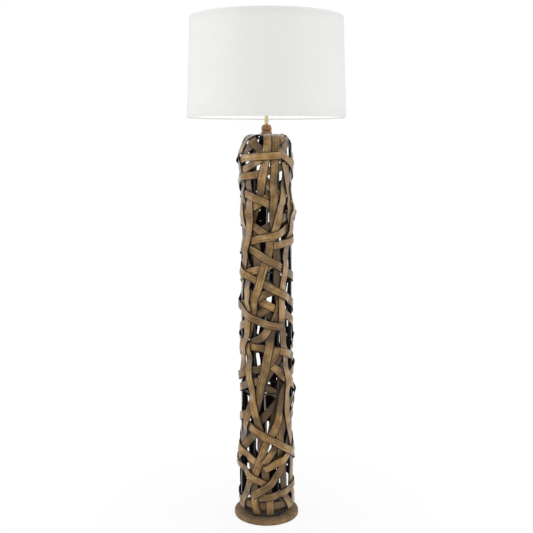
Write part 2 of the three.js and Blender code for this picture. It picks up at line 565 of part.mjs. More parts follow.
// Strip routes. Each point is an angle in degrees from the front, a mark up the ruler of the weave
// surface and a rank: where two strips cross, the one of higher rank lies outside.
const stripRouteShares = {
  rattan_strip_01: [[-14, 1122, 0], [-4, 1108, 0], [5, 1090, 2], [15, 1077, 2], [25, 1064, 2], [34, 1054, 0],
    [43, 1046, 0], [52, 1040, 1], [64, 1030, 1], [85, 1002, 1], [120, 968, 1], [160, 935, 0], [200, 905, 1],
    [240, 872, 0], [265, 850, 1], [285, 835, 1], [300, 823, 2], [315, 810, 2], [330, 799, 2], [340, 793, 0],
    [348, 788, 0], [357, 781, 1], [370, 771, 2], [385, 759, 2], [400, 746, 2], [415, 733, 2], [430, 718, 1],
    [450, 700, 1], [480, 672, 0], [520, 648, 1], [560, 628, 0], [600, 610, 1], [628, 596, 1], [660, 586, 0],
    [672, 583, 0.5], [682, 582, 1], [700, 580, 1], [713, 578, 0.5], [723, 575, 0], [735, 572, 1],
    [750, 568, 2], [765, 560, 2], [778, 552, 2], [792, 543, 1], [812, 524, 1], [850, 460, 0], [885, 390, 1],
    [925, 300, 0], [955, 232, 1], [980, 196, 1], [995, 184, 1], [1018, 173, 2], [1035, 163, 2], [1050, 152, 2],
    [1065, 142, 1], [1076, 134, 0], [1087, 127, 0]],
  rattan_strip_02: [[-48, 900, 0], [-38, 893, 0.5], [-25, 884, 0], [-12, 872, 1], [0, 862, 2], [12, 852, 2],
    [25, 841, 2], [36, 831, 0], [50, 820, 0], [65, 808, 1], [82, 797, 1], [120, 780, 0], [160, 768, 1],
    [200, 755, 0], [235, 740, 1], [265, 724, 0], [280, 714, 1], [296, 703, 1], [310, 689, 2], [330, 675, 2],
    [350, 662, 2], [370, 652, 2], [384, 648, 1], [396, 645, 0]],
  rattan_strip_03: [[-48, 758, 0], [-36, 749, 0.3], [-25, 738, 0], [-14, 728, 1], [0, 719, 1], [12, 710, 1],
    [25, 701, 0], [38, 692, 1], [50, 682, 1], [60, 672, 1], [73, 658, 1], [95, 628, 1], [125, 570, 0],
    [160, 490, 1], [195, 405, 0], [225, 335, 1], [255, 275, 1], [280, 247, 1], [295, 236, 2], [310, 226, 2],
    [322, 216, 1], [334, 207, 0], [346, 197, 0], [353, 191, 0]],
  rattan_strip_04: [[-15, 948, 0], [-5, 955, 0], [8, 965, 0.5], [20, 974, 0], [32, 982, 1], [45, 990, 1],
    [60, 1000, 1], [76, 1009, 0], [110, 1016, 1], [150, 1025, 0], [190, 1040, 1], [225, 1060, 0],
    [255, 1084, 1], [278, 1104, 1], [300, 1115, 1], [320, 1119, 1], [338, 1123, 1], [348, 1128, 0],
    [365, 1134, 0], [378, 1140, 0], [388, 1143, 1], [398, 1148, 1], [408, 1153, 0], [420, 1161, 0],
    [440, 1172, 0]],
  rattan_strip_05: [[118, 800, 0], [160, 828, 1], [200, 850, 0], [240, 872, 1], [272, 890, 1], [292, 898, 1],
    [308, 905, 0], [318, 912, 0], [327, 917, 1], [345, 925, 2], [365, 932, 2], [385, 940, 2], [400, 949, 1],
    [411, 956, 0], [425, 965, 0], [446, 980, 1], [480, 1010, 0], [520, 1046, 1], [560, 1076, 0],
    [600, 1098, 1], [632, 1112, 0], [655, 1127, 0], [670, 1141, 1], [685, 1153, 1], [698, 1163, 0],
    [708, 1170, 0]],
  rattan_strip_06: [[14, 904, 0], [24, 905, 0], [35, 908, 1], [48, 910, 2], [62, 915, 2], [78, 923, 1],
    [100, 932, 1], [140, 942, 0], [180, 950, 1], [220, 957, 0], [255, 967, 1], [280, 977, 0], [295, 990, 0],
    [308, 1002, 1], [320, 1013, 2], [332, 1024, 2], [343, 1034, 1], [354, 1046, 0], [366, 1056, 0],
    [378, 1066, 0]],
  rattan_strip_07: [[-32, 80, 0], [-20, 83, 0], [-10, 87, 1], [10, 91, 1], [35, 97, 2], [60, 104, 2],
    [80, 112, 1], [110, 124, 1], [150, 136, 0], [190, 148, 1], [230, 163, 0], [260, 180, 1], [280, 203, 0],
    [290, 221, 0], [298, 238, 0.6], [305, 250, 1], [313, 263, 1], [322, 279, 1], [332, 293, 1],
    [344, 304, 0]],
  rattan_strip_08: [[234, 1140, 1], [255, 1152, 0], [280, 1164, 0.5],
    [300, 1172, 1], [315, 1175, 2], [330, 1177, 2], [350, 1179, 2], [365, 1180, 1], [375, 1181, 0],
    [388, 1182, 0]],
  rattan_strip_09: [[2, 1170, 0], [-8, 1185, 0], [-15, 1198, 1], [-30, 1220, 1], [-42, 1236, 0],
    [-58, 1252, 0], [-80, 1262, 0], [-102, 1252, 0], [-112, 1232, -1], [-116, 1205, -1], [-112, 1160, -1],
    [-118, 1080, -1], [-110, 1000, -1], [-116, 920, -1], [-124, 840, -1], [-116, 750, -1], [-122, 670, -1],
    [-114, 590, -1], [-108, 500, -1], [-116, 420, -1], [-122, 340, -1], [-114, 260, -1], [-120, 180, -1],
    [-116, 110, -1], [-120, 30, -1]],
  rattan_strip_10: [[4, 1188, 0], [14, 1202, 1], [25, 1219, 1], [35, 1232, 1], [48, 1250, 1], [70, 1264, 1],
    [92, 1250, 1], [103, 1232, -1], [106, 1200, -1], [102, 1140, -1], [110, 1060, -1], [104, 980, -1],
    [112, 890, -1], [106, 800, -1], [114, 715, -1], [108, 640, -1], [116, 560, -1], [108, 470, -1], [115, 380, -1],
    [108, 290, -1], [114, 200, -1], [107, 120, -1], [111, 30, -1]],
  rattan_strip_11: [[-24, 1275, 2], [-38, 1268, 2], [-48, 1246, 2], [-58, 1224, 2], [-70, 1200, 2],
    [-85, 1180, 1], [-104, 1158, 0], [-128, 1132, 2], [-152, 1108, 0], [-176, 1086, 2], [-200, 1060, 0],
    [-220, 1030, 1]],
  rattan_strip_12: [[-35, 1213, 0.6], [-42, 1207, 0.6], [-55, 1197, 1], [-70, 1182, 1], [-84, 1156, 0],
    [-96, 1122, 1], [-106, 1080, 0], [-114, 1050, 1]],
  rattan_strip_13: [[26, 1166, 0], [36, 1187, 1], [43, 1203, 1], [52, 1224, 1], [66, 1246, 0], [92, 1273, 0],
    [122, 1250, 0], [132, 1226, -1], [134, 1190, -1], [130, 1120, -1], [138, 1030, -1], [130, 950, -1],
    [139, 865, -1], [132, 780, -1], [141, 700, -1], [133, 620, -1], [140, 530, -1], [131, 440, -1], [139, 350, -1],
    [132, 260, -1], [140, 170, -1], [134, 90, -1], [138, 30, -1]],
  rattan_strip_14: [[22, 1197, 0], [36, 1184, 0.5], [50, 1168, 2], [62, 1156, 2], [76, 1142, 1],
    [100, 1120, 1], [140, 1090, 0], [180, 1058, 1], [220, 1036, 0], [262, 1034, 1], [288, 1052, 0],
    [302, 1062, 0], [316, 1062, 0], [330, 1053, 1], [345, 1046, 2], [355, 1040, 2], [366, 1030, 2],
    [375, 1020, 0], [384, 1011, 0]],
  rattan_strip_15: [[3, 1280, 2], [3, 1262, 2], [2, 1235, 2], [1, 1205, 1], [-1, 1180, 0], [-3, 1160, 1],
    [-6, 1135, 2], [-9, 1110, 2], [-12, 1085, 2], [-14, 1065, 1], [-17, 1042, 0], [-26, 1012, 0],
    [-33, 985, 0], [-32, 955, 0], [-27, 928, 0], [-24, 912, 0.5], [-23, 895, 1], [-22, 875, 1],
    [-21, 855, 1], [-19, 838, 0.5], [-17, 815, 0], [-15, 788, 0]],
  rattan_strip_16: [[48, 1122, 0], [42, 1088, 1], [37, 1050, 2], [27, 1000, 2], [20, 960, 1], [11, 922, 0],
    [4, 880, 0], [-2, 850, 0], [-9, 815, 1], [-15, 780, 3], [-21, 755, 3], [-25, 735, 2], [-28, 715, 2],
    [-30, 692, 1], [-35, 660, 0], [-41, 632, 0], [-46, 608, 0]],
  rattan_strip_17: [[24, 1283, 1], [24, 1256, 0], [21, 1225, 0], [19, 1195, 0], [18, 1160, 2], [17, 1130, 2],
    [15, 1100, 1], [15, 1078, 0], [16, 1050, 1], [15, 1010, 1], [15, 970, 1], [18, 940, 0], [21, 915, 1],
    [22, 890, 1], [24, 860, 0], [25, 830, 0], [24, 805, 1], [24, 775, 0], [27, 750, 0], [28, 735, 2],
    [28, 718, 2], [25, 700, 3], [21, 680, 3], [18, 664, 1], [13, 645, 0], [10, 620, 1], [8, 600, 1],
    [5, 580, 1], [3, 565, 1], [0, 540, 0], [-3, 510, 1], [-7, 485, 2], [-11, 460, 2], [-14, 440, 2],
    [-17, 415, 1], [-21, 392, 0], [-26, 365, 0]],
  rattan_strip_18: [[76, 1190, 0], [73, 1120, 1], [71, 1060, 1], [69, 1010, 1], [65, 970, 2], [60, 935, 2],
    [55, 910, 1], [51, 888, 1], [47, 862, 1], [44, 830, 1], [41, 800, 1], [38, 772, 0], [35, 740, 0],
    [33, 705, 0], [34, 680, 0], [37, 650, 1], [40, 620, 1], [41, 590, 1], [44, 562, 0], [47, 535, 1],
    [49, 505, 1], [51, 475, 1], [52, 445, 1], [52, 420, 1], [51, 400, 0.6], [50, 375, 1], [53, 345, 1],
    [58, 312, 1], [63, 285, 1], [68, 255, 0], [72, 225, 0], [75, 180, 1], [72, 130, 0], [75, 80, 0],
    [74, 30, 1]],
  rattan_strip_19: [[-49, 1135, 0], [-47, 1112, 0], [-45, 1090, 1], [-42, 1065, 1], [-39, 1038, 1],
    [-37, 1018, 0], [-36, 990, 1], [-38, 960, 1], [-41, 935, 1], [-44, 910, 1], [-48, 885, 0],
    [-54, 855, 0], [-60, 820, 0], [-68, 785, -1], [-76, 750, -1], [-80, 700, -1], [-78, 650, -1],
    [-83, 590, -1], [-79, 530, -1], [-84, 470, -1], [-80, 410, -1], [-85, 350, -1], [-81, 290, -1],
    [-86, 230, -1], [-82, 170, -1], [-85, 100, -1], [-83, 30, -1]],
  rattan_strip_20: [[-67, 1030, 0], [-63, 1005, 0], [-60, 978, 1], [-58, 950, 2], [-58, 920, 2],
    [-57, 900, 2], [-54, 875, 2], [-51, 850, 2], [-50, 832, 1], [-49, 810, 0], [-48, 790, 1],
    [-47, 765, 1], [-46, 745, 1], [-45, 722, 0], [-43, 700, 0], [-42, 680, 0], [-42, 662, 1],
    [-44, 640, 2], [-48, 615, 2], [-52, 585, 2], [-57, 558, 1], [-62, 530, 1], [-67, 500, 0],
    [-72, 465, 0]],
  rattan_strip_21: [[41, 1163, 0], [46, 1140, 1], [50, 1115, 1], [53, 1090, 1], [55, 1065, 1], [57, 1045, 0],
    [58, 1018, 1], [60, 990, 1], [66, 950, 0], [75, 905, 1], [82, 860, -1], [84, 800, -1], [82, 740, -1],
    [87, 680, -1], [83, 620, -1], [88, 560, -1], [84, 500, -1], [88, 440, -1], [85, 380, -1], [90, 320, -1],
    [87, 250, -1], [91, 180, -1], [88, 110, -1], [90, 30, -1]],
  rattan_strip_22: [[-84, 1283, 1], [-86, 1250, 1], [-88, 1215, 1], [-84, 1180, 1], [-76, 1145, 1],
    [-67, 1110, 0], [-64, 1085, 1], [-62, 1055, 1], [-60, 1028, 1], [-56, 1006, 1], [-50, 990, 0],
    [-43, 977, 0], [-35, 968, 0.2], [-26, 961, 0.6], [-13, 949, 0.6], [2, 936, 0], [14, 925, 0]],
  rattan_strip_23: [[18, 850, 0], [8, 843, 0], [-2, 836, 2], [-15, 830, 2], [-32, 822, 1], [-46, 814, 0],
    [-60, 807, 0.5], [-78, 798, 1], [-100, 788, 0], [-140, 770, 1], [-180, 752, 0], [-215, 735, 1]],
  rattan_strip_24: [[16, 761, 0], [5, 755, 0.5], [-8, 748, 0.5], [-22, 735, 0], [-38, 723, 0.5],
    [-50, 718, 1], [-65, 712, 1], [-82, 704, 0], [-110, 690, 1], [-145, 668, 0], [-185, 640, 1],
    [-225, 612, 0], [-262, 590, 1], [-285, 574, 0]],
  rattan_strip_25: [[15, 714, 0], [5, 706, 0], [-5, 697, 0.6], [-15, 688, 0.6], [-26, 678, 0],
    [-45, 661, 0], [-58, 650, 1], [-76, 637, 1], [-100, 620, 0], [-140, 590, 1], [-180, 556, 0],
    [-220, 520, 1]],
  rattan_strip_26: [[5, 650, 0], [0, 632, 1], [-10, 614, 1], [-22, 603, 1], [-38, 591, 0], [-55, 577, 0.4],
    [-72, 563, 1], [-95, 550, 0], [-135, 540, 1], [-175, 532, 0], [-215, 524, 1], [-250, 512, 1],
    [-280, 496, 0], [-295, 480, 0], [-305, 465, 0], [-313, 451, 0], [-320, 434, 1], [-324, 412, 1],
    [-326, 395, 1], [-329, 372, 2], [-333, 350, 2], [-338, 328, 2], [-344, 308, 1], [-351, 292, 0],
    [-357, 277, 0], [-362, 262, 1], [-367, 240, 2], [-372, 218, 2], [-377, 195, 2], [-382, 175, 1],
    [-388, 158, 0], [-398, 136, 1], [-407, 107, 2], [-415, 82, 2], [-421, 60, 1], [-425, 36, 1]],
  rattan_strip_27: [[-30, 92, 0], [-20, 102, 0.4], [-10, 112, 2], [0, 124, 2], [12, 139, 2], [22, 156, 2],
    [32, 177, 2], [40, 200, 2], [46, 218, 1], [52, 235, 0], [57, 258, 1], [62, 290, 0.5], [68, 330, 1],
    [78, 372, 0], [95, 410, 1], [125, 436, 0], [165, 450, 1], [205, 456, 0], [245, 462, 1], [270, 468, 0],
    [287, 480, 1], [303, 492, 1], [315, 502, 0], [326, 506, 0], [338, 507, 1], [350, 515, 2],
    [363, 528, 2], [372, 544, 2], [377, 558, 1], [381, 578, 0]],
  rattan_strip_28: [[-3, 538, 0], [5, 530, 0], [12, 520, 1], [25, 505, 1], [35, 490, 1], [46, 475, 0],
    [58, 468, 0.5], [70, 455, 0.5], [88, 438, 0], [120, 405, 1], [155, 360, 0], [190, 310, 1],
    [220, 262, 0]],
  rattan_strip_29: [[-8, 478, 0], [-15, 474, 0], [-26, 468, 1], [-40, 460, 2], [-55, 452, 2], [-70, 441, 1],
    [-88, 430, 1], [-115, 418, 0], [-155, 408, 1], [-195, 400, 0], [-235, 404, 1], [-262, 408, 0],
    [-278, 404, 0], [-293, 388, 0.6], [-304, 366, 0], [-312, 344, 0.4], [-319, 318, 1], [-325, 292, 0],
    [-331, 268, 0], [-342, 246, 1], [-352, 228, 1], [-364, 204, 0]],
  rattan_strip_30: [[-44, 592, 0], [-43, 568, 0.6], [-42, 545, 1], [-41, 515, 1], [-41, 492, 1],
    [-39, 470, 0], [-33, 445, 1], [-31, 420, 1], [-29, 400, 1], [-26, 370, 2], [-22, 342, 2],
    [-18, 322, 1], [-13, 300, 0], [-12, 275, 0.7], [-12, 250, 0.6], [-10, 228, 0], [-6, 205, 0.5],
    [-3, 180, 1], [-2, 150, 1], [1, 125, 0], [4, 105, 0.5], [6, 88, 0], [8, 70, 1], [8, 50, 1],
    [9, 28, 1]],
  rattan_strip_31: [[-54, 330, 0], [-42, 322, 0.6], [-33, 316, 1], [-15, 302, 2], [0, 288, 2],
    [18, 273, 2], [30, 261, 0], [42, 248, 1], [58, 234, 1], [76, 217, 1], [100, 192, 0], [140, 150, 1],
    [180, 112, 0], [220, 84, 1], [255, 68, 0]],
  rattan_strip_32: [[22, 352, 0], [26, 328, 0], [29, 305, 1], [30, 285, 1], [31, 262, 2], [33, 238, 2],
    [34, 220, 1], [37, 202, 0], [40, 180, 1], [41, 155, 1], [42, 130, 1], [43, 112, 0], [45, 92, 0],
    [49, 75, 1], [56, 58, 1], [63, 38, 1]],
  rattan_strip_33: [[-4, 182, 0], [10, 193, 0.5], [25, 203, 1], [38, 212, 2], [50, 222, 1], [63, 233, 0],
    [82, 247, 1], [125, 275, 0], [170, 295, 1], [215, 312, 0], [255, 325, 1], [280, 338, 0],
    [298, 350, 0.4], [310, 358, 0]],
  rattan_strip_34: [[38, 570, 0], [29, 546, 0.4], [18, 524, 0], [6, 498, 0.4], [-4, 474, 0], [-13, 450, 0],
    [-20, 434, 0], [-29, 414, 0], [-38, 390, 1], [-45, 357, 1], [-52, 322, 1], [-60, 282, 1], [-67, 252, 1],
    [-76, 215, 1], [-88, 170, 0], [-99, 120, 1], [-106, 75, 0], [-108, 30, 1]],
  rattan_strip_35: [[-37, 208, 0], [-33, 186, 0.4], [-30, 165, 0], [-29, 145, 0], [-28, 125, 1],
    [-27, 100, 1], [-25, 80, 1], [-24, 60, 1], [-22, 40, 1], [-21, 28, 1]],
  rattan_strip_36: [[186, 58, -0.4], [226, 58, -0.4], [266, 58, -0.4], [306, 58, -0.4], [346, 58, -0.4], [386, 58, -0.4],
    [426, 58, -0.4], [466, 58, -0.4], [506, 58, -0.4], [541, 58, -0.4]],
  rattan_strip_37: [[160, 1260, -1], [160, 1240, -1], [159, 1215, -1], [163, 1150, -1], [156, 1060, -1],
    [165, 975, -1], [158, 890, -1], [166, 800, -1], [158, 715, -1], [166, 630, -1], [159, 545, -1],
    [167, 460, -1], [158, 375, -1], [166, 290, -1], [159, 205, -1], [165, 120, -1], [162, 30, -1]],
  rattan_strip_38: [[190, 1260, -1], [190, 1240, -1], [189, 1215, -1], [185, 1150, -1], [192, 1065, -1],
    [184, 980, -1], [192, 895, -1], [184, 815, -1], [191, 730, -1], [184, 645, -1], [192, 560, -1],
    [185, 475, -1], [193, 390, -1], [186, 305, -1], [193, 220, -1], [187, 130, -1], [190, 30, -1]],
  rattan_strip_39: [[218, 1260, -1], [218, 1240, -1], [217, 1212, -1], [213, 1140, -1], [220, 1050, -1],
    [212, 965, -1], [219, 880, -1], [211, 795, -1], [218, 710, -1], [210, 625, -1], [217, 540, -1],
    [209, 455, -1], [216, 370, -1], [210, 285, -1], [217, 200, -1], [212, 115, -1], [215, 30, -1]],
};

// Stations along a strip: place, direction and rank, in angle and mark
const referenceRadius = (weaveFootRadius + weaveTopRadius) / 2;
const degreesPerArc = 180 / Math.PI / referenceRadius;

function stationsOf(name, route) {
  const points = route.map(([angle, mark, rank]) => new THREE.Vector3(angle / degreesPerArc, mark * rulerUnit, rank));
  const curve = new THREE.CatmullRomCurve3(points, false, 'centripetal');
  const places = evenPlaces(curve.getSpacedPoints(Math.round(curve.getLength() / stripFineStep)));
  const count = places.length - 1;
  const stations = places.map((place, index) => {
    const before = places[Math.max(index - 1, 0)];
    const after = places[Math.min(index + 1, count)];
    const localRadius = radiusShareAt(place.y);
    const across = new THREE.Vector2(-(after.y - before.y), (after.x - before.x) * localRadius);
    across.normalize();
    return {
      angle: place.x * degreesPerArc,
      mark: place.y / rulerUnit,
      rank: place.z,
      across,
      local: localRadius,
    };
  });
  return { name, stations, lift: stations.flatMap(() => [0, 0]) };
}

// Stations at even steps, wider apart where a strip runs as a stake straight on the cage
function evenPlaces(fine) {
  const costs = [0];
  for (let i = 1; i < fine.length; i += 1) {
    const step = fine[i].distanceTo(fine[i - 1]);
    const onShoulder = fine[i].y > (shoulderMarkShare - footMarkShare) * rulerUnit;
    const onStake = fine[i].z < stakeRank / 2 && !onShoulder;
    costs.push(costs[i - 1] + step * (onStake ? stakeStepShare : 1) * (onShoulder ? shoulderStepShare : 1));
  }
  const count = Math.max(Math.round(costs.at(-1) / stripStep), 2);
  const places = [];
  for (let i = 0; i <= count; i += 1) {
    const wanted = (costs.at(-1) * i) / count;
    const at = Math.min(costs.findIndex((cost) => cost >= wanted - seatGap / 10), fine.length - 1);
    places.push(fine[at].clone());
  }
  return places;
}

// The share of the reference radius that the weave surface has at a distance up the ruler
function radiusShareAt(distance) {
  const point = weavePoint(0, distance / rulerUnit, 0);
  return Math.hypot(point.x, point.y) / referenceRadius;
}

function edgePlace(station, side) {
  const half = (side * stripWidth) / 2;
  return {
    angle: station.angle + (station.across.x * half * degreesPerArc) / station.local,
    mark: station.mark + (station.across.y * half) / rulerUnit,
  };
}

// Places where one strip lies over or under another, tested on points across each stretch
const sampleAlongShares = [0.1, 0.3, 0.5, 0.7, 0.9];
const sampleAcrossShares = [-1, -0.5, 0, 0.5, 1];
const crossingMargin = 1.2;

function samplesOf(strip, index) {
  const samples = [];
  for (let k = 0; k + 1 < strip.stations.length; k += 1) {
    const from = strip.stations[k];
    const to = strip.stations[k + 1];
    for (const along of sampleAlongShares) {
      for (const side of sampleAcrossShares) {
        const a = edgePlace(from, side);
        const b = edgePlace(to, side);
        const angle = THREE.MathUtils.lerp(a.angle, b.angle, along);
        const mark = THREE.MathUtils.lerp(a.mark, b.mark, along);
        samples.push({ strip: index, k, along, side, point: weavePoint(angle, mark, 0) });
      }
    }
  }
  return samples;
}

function stretchesOf(strip, index) {
  const stretches = [];
  for (let k = 0; k + 1 < strip.stations.length; k += 1) {
    const from = weavePoint(strip.stations[k].angle, strip.stations[k].mark, 0);
    const to = weavePoint(strip.stations[k + 1].angle, strip.stations[k + 1].mark, 0);
    const middle = from.clone().add(to).multiplyScalar(0.5);
    const along = to.clone().sub(from);
    const length = along.length();
    along.normalize();
    const leftPlace = edgePlace(strip.stations[k], 1);
    const left = weavePoint(leftPlace.angle, leftPlace.mark, 0).sub(from);
    left.addScaledVector(along, -left.dot(along)).normalize();
    stretches.push({ strip: index, k, from, middle, along, left, length });
  }
  return stretches;
}

function findCrossings(strips) {
  const cell = stripWidth + stripStep;
  const cells = new Map();
  const keyOf = (x, y, z) => `${x},${y},${z}`;
  const cellOf = (point) => [point.x, point.y, point.z].map((value) => Math.floor(value / cell));
  strips.forEach((strip, index) => {
    for (const stretch of stretchesOf(strip, index)) {
      const key = keyOf(...cellOf(stretch.middle));
      if (!cells.has(key)) cells.set(key, []);
      cells.get(key).push(stretch);
    }
  });
  const crossings = new Map();
  strips.forEach((strip, index) => {
    for (const sample of samplesOf(strip, index)) {
      const [cx, cy, cz] = cellOf(sample.point);
      for (let x = cx - 1; x <= cx + 1; x += 1) {
        for (let y = cy - 1; y <= cy + 1; y += 1) {
          for (let z = cz - 1; z <= cz + 1; z += 1) {
            for (const stretch of cells.get(keyOf(x, y, z)) ?? []) {
              testCrossing(strips, crossings, sample, stretch);
            }
          }
        }
      }
    }
  });
  return crossings;
}

function testCrossing(strips, crossings, sample, stretch) {
  if (sample.strip === stretch.strip) return;
  const offset = sample.point.clone().sub(stretch.from);
  const along = offset.dot(stretch.along);
  const side = offset.dot(stretch.left);
  if (along < -crossingMargin || along > stretch.length + crossingMargin) return;
  if (Math.abs(side) > stripWidth / 2 + crossingMargin) return;
  if (offset.lengthSq() > along * along + side * side + stripWidth * stripWidth / 4) return;
  const at = THREE.MathUtils.clamp(along / stretch.length, 0, 1);
  const swap = sample.strip > stretch.strip;
  const here = placeOn(sample.strip, sample.k, sample.along, sample.side);
  const there = placeOn(stretch.strip, stretch.k, at, THREE.MathUtils.clamp((2 * side) / stripWidth, -1, 1));
  const [low, high] = swap ? [there, here] : [here, there];
  const key = `${low.strip},${high.strip}`;
  if (!crossings.has(key)) crossings.set(key, []);
  const first = rankAt(strips[low.strip], low);
  const second = rankAt(strips[high.strip], high);
  crossings.get(key).push({ low, high, lead: second - first });
}

// A place on a strip, with the share that each of the four corners of its stretch has in its height
function placeOn(strip, k, at, side) {
  const right = (1 + side) / 2;
  const shares = [(1 - at) * (1 - right), (1 - at) * right, at * (1 - right), at * right];
  const norm = shares.reduce((sum, share) => sum + share * share, 0);
  return { strip, k, at, shares, norm };
}

function rankAt(strip, place) {
  return THREE.MathUtils.lerp(strip.stations[place.k].rank, strip.stations[place.k + 1].rank, place.at);
}

// Contacts of one pair are grouped into patches, and in each patch one strip lies outside
function patchesOf(crossings) {
  const patches = [];
  for (const contacts of crossings.values()) {
    contacts.sort((a, b) => a.low.k - b.low.k);
    let patch = null;
    for (const contact of contacts) {
      if (!patch || contact.low.k - patch.contacts.at(-1).low.k > 2) {
        patch = { contacts: [], lead: 0, turns: 0 };
        patches.push(patch);
      }
      patch.contacts.push(contact);
      patch.lead += contact.lead;
    }
  }
  for (const patch of patches) patch.lead /= patch.contacts.length;
  return patches;
}

function liftAt(strip, place) {
  const [a, b, c, d] = place.shares;
  const { lift } = strip;
  const at = 2 * place.k;
  return a * lift[at] + b * lift[at + 1] + c * lift[at + 2] + d * lift[at + 3];
}

function shift(strip, place, amount) {
  for (let corner = 0; corner < 4; corner += 1) {
    const at = 2 * place.k + corner;
    strip.lift[at] = Math.max(strip.lift[at] + (amount * place.shares[corner]) / place.norm, 0);
  }
}

// Strips sink towards the cage, press one another apart where they cross, and bend only so much.
// Where no such shape exists, the order that is kept worst and matters least is turned round.
function settle(strips, patches) {
  for (let turn = 0; turn < settleTurns; turn += 1) {
    for (let round = 0; round < settleRounds; round += 1) {
      for (const strip of strips) strip.lift = strip.lift.map((lift) => lift * settleSink);
      press(strips, patches, settleSlack);
      strips.forEach(ease);
    }
    const kept = patches.filter((patch) => patch.miss > settleSlack && patch.turns < mostTurns);
    if (!kept.length) break;
    kept.sort((a, b) => weightOf(a) - weightOf(b));
    const touched = new Set();
    for (const patch of kept) {
      const pair = [patch.contacts[0].low.strip, patch.contacts[0].high.strip];
      if (pair.some((strip) => touched.has(strip))) continue;
      pair.forEach((strip) => touched.add(strip));
      patch.lead = -patch.lead;
      patch.turns += 1;
    }
    for (const strip of strips) strip.lift.fill(0);
  }
  for (let round = 0; round < settleRounds; round += 1) {
    press(strips, patches, 0);
    strips.forEach(ease);
  }
}

function press(strips, patches, slack) {
  const layer = stripThickness + stripLayerGap + slack;
  for (const patch of patches) {
    patch.miss = 0;
    for (const contact of patch.contacts) {
      const [under, over] = patch.lead >= 0 ? [contact.low, contact.high] : [contact.high, contact.low];
      const lower = strips[under.strip];
      const upper = strips[over.strip];
      const height = liftAt(lower, under);
      const missing = height + layer - liftAt(upper, over);
      if (missing > 0) {
        patch.miss = Math.max(patch.miss, missing);
        const down = Math.min(missing / 2, height);
        shift(lower, under, -down);
        shift(upper, over, missing - down);
      }
    }
  }
}

function weightOf(patch) {
  return Math.abs(patch.lead) + patch.turns - patch.miss / settleUnit;
}

function ease(strip) {
  const climb = stripStep * stripClimbShare;
  const { lift } = strip;
  for (let k = 2; k < lift.length; k += 1) {
    const over = Math.abs(lift[k] - lift[k - 2]) - climb;
    if (over > 0) {
      const [high, low] = lift[k] > lift[k - 2] ? [k, k - 2] : [k - 2, k];
      lift[high] -= over / 2;
      lift[low] += over / 2;
    }
  }
}

// A flat strip: four points at each station, each face split along its straighter diagonal
function stripGeometry(strip) {
  const positions = [];
  const angles = [];
  strip.stations.forEach((station, k) => {
    for (const [side, rise] of [[-1, 0], [1, 0], [1, stripThickness], [-1, stripThickness]]) {
      const place = edgePlace(station, side);
      const lift = strip.lift[2 * k + (1 + side) / 2] + rise;
      positions.push(...weavePoint(place.angle, place.mark, lift).toArray());
      angles.push(place.angle);
    }
  });
  const index = [];
  const faces = [[0, 1], [1, 2], [2, 3], [3, 0]];
  for (let k = 0; k + 1 < strip.stations.length; k += 1) {
    for (const [i, j] of faces) {
      const a = 4 * k + i;
      const b = 4 * k + j;
      const c = a + 4;
      const d = b + 4;
      const straighter = Math.abs(angles[a] - angles[d]) < Math.abs(angles[b] - angles[c]);
      if (straighter) index.push(a, b, d, a, d, c);
      else index.push(a, b, c, b, d, c);
    }
  }
  const last = 4 * (strip.stations.length - 1);
  index.push(0, 2, 1, 0, 3, 2, last, last + 1, last + 2, last, last + 2, last + 3);
  const geometry = new THREE.BufferGeometry();
  geometry.setAttribute('position', new THREE.Float32BufferAttribute(positions, 3));
  geometry.setIndex(index);
  geometry.computeVertexNormals();
  return geometry;
}

function addWeave() {
  const strips = Object.entries(stripRouteShares).map(([name, route]) => stationsOf(name, route));
  settle(strips, patchesOf(findCrossings(strips)));
  strips.forEach((strip, index) => {
    addPart(strip.name, stripGeometry(strip), index % 3 ? rattan : paleRattan);
  });
}

addBase();
addCage();
addNeck();
addHolder();
addHarp();
addShade();
addLead();
addWeave();

export default group;
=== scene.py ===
"""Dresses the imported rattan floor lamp: woven strips, cane base, turned neck, holder, harp and drum shade."""

import math

import bmesh
import bpy
from bpy.props import FloatProperty, FloatVectorProperty, IntProperty, PointerProperty
from mathutils import Matrix, Vector


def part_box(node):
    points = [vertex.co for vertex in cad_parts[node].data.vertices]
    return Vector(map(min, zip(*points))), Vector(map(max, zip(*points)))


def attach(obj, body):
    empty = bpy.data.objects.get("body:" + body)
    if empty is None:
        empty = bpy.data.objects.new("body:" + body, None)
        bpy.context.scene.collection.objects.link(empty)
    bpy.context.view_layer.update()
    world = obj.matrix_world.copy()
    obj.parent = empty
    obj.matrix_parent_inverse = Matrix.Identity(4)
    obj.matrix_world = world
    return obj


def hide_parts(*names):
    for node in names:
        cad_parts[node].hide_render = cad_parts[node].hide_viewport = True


bl_info = {
    "name": "Rattan floor lamp",
    "version": (1, 0, 0),
    "blender": (4, 5, 0),
    "location": "View3D > Sidebar > Lamp",
    "description": "Builds the dressed rattan floor lamp round its packed model",
    "category": "Object",
}

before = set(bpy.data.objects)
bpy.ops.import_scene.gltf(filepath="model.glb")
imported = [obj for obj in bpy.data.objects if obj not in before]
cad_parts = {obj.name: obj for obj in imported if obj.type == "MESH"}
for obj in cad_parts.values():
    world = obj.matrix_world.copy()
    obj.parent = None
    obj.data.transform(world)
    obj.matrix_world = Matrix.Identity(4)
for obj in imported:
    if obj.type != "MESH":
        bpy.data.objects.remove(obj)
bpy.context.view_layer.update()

MM = 0.001
WELD = 0.01 * MM
EDGE = 0.4 * MM
FINE_EDGE = 0.15 * MM
UV_NAME = "run"
RISE_NAME = "rise"
STAND = "stand"
SHADE_BODY = "shade"
SOCKETS = {"specular_ior_level": "Specular IOR Level"}

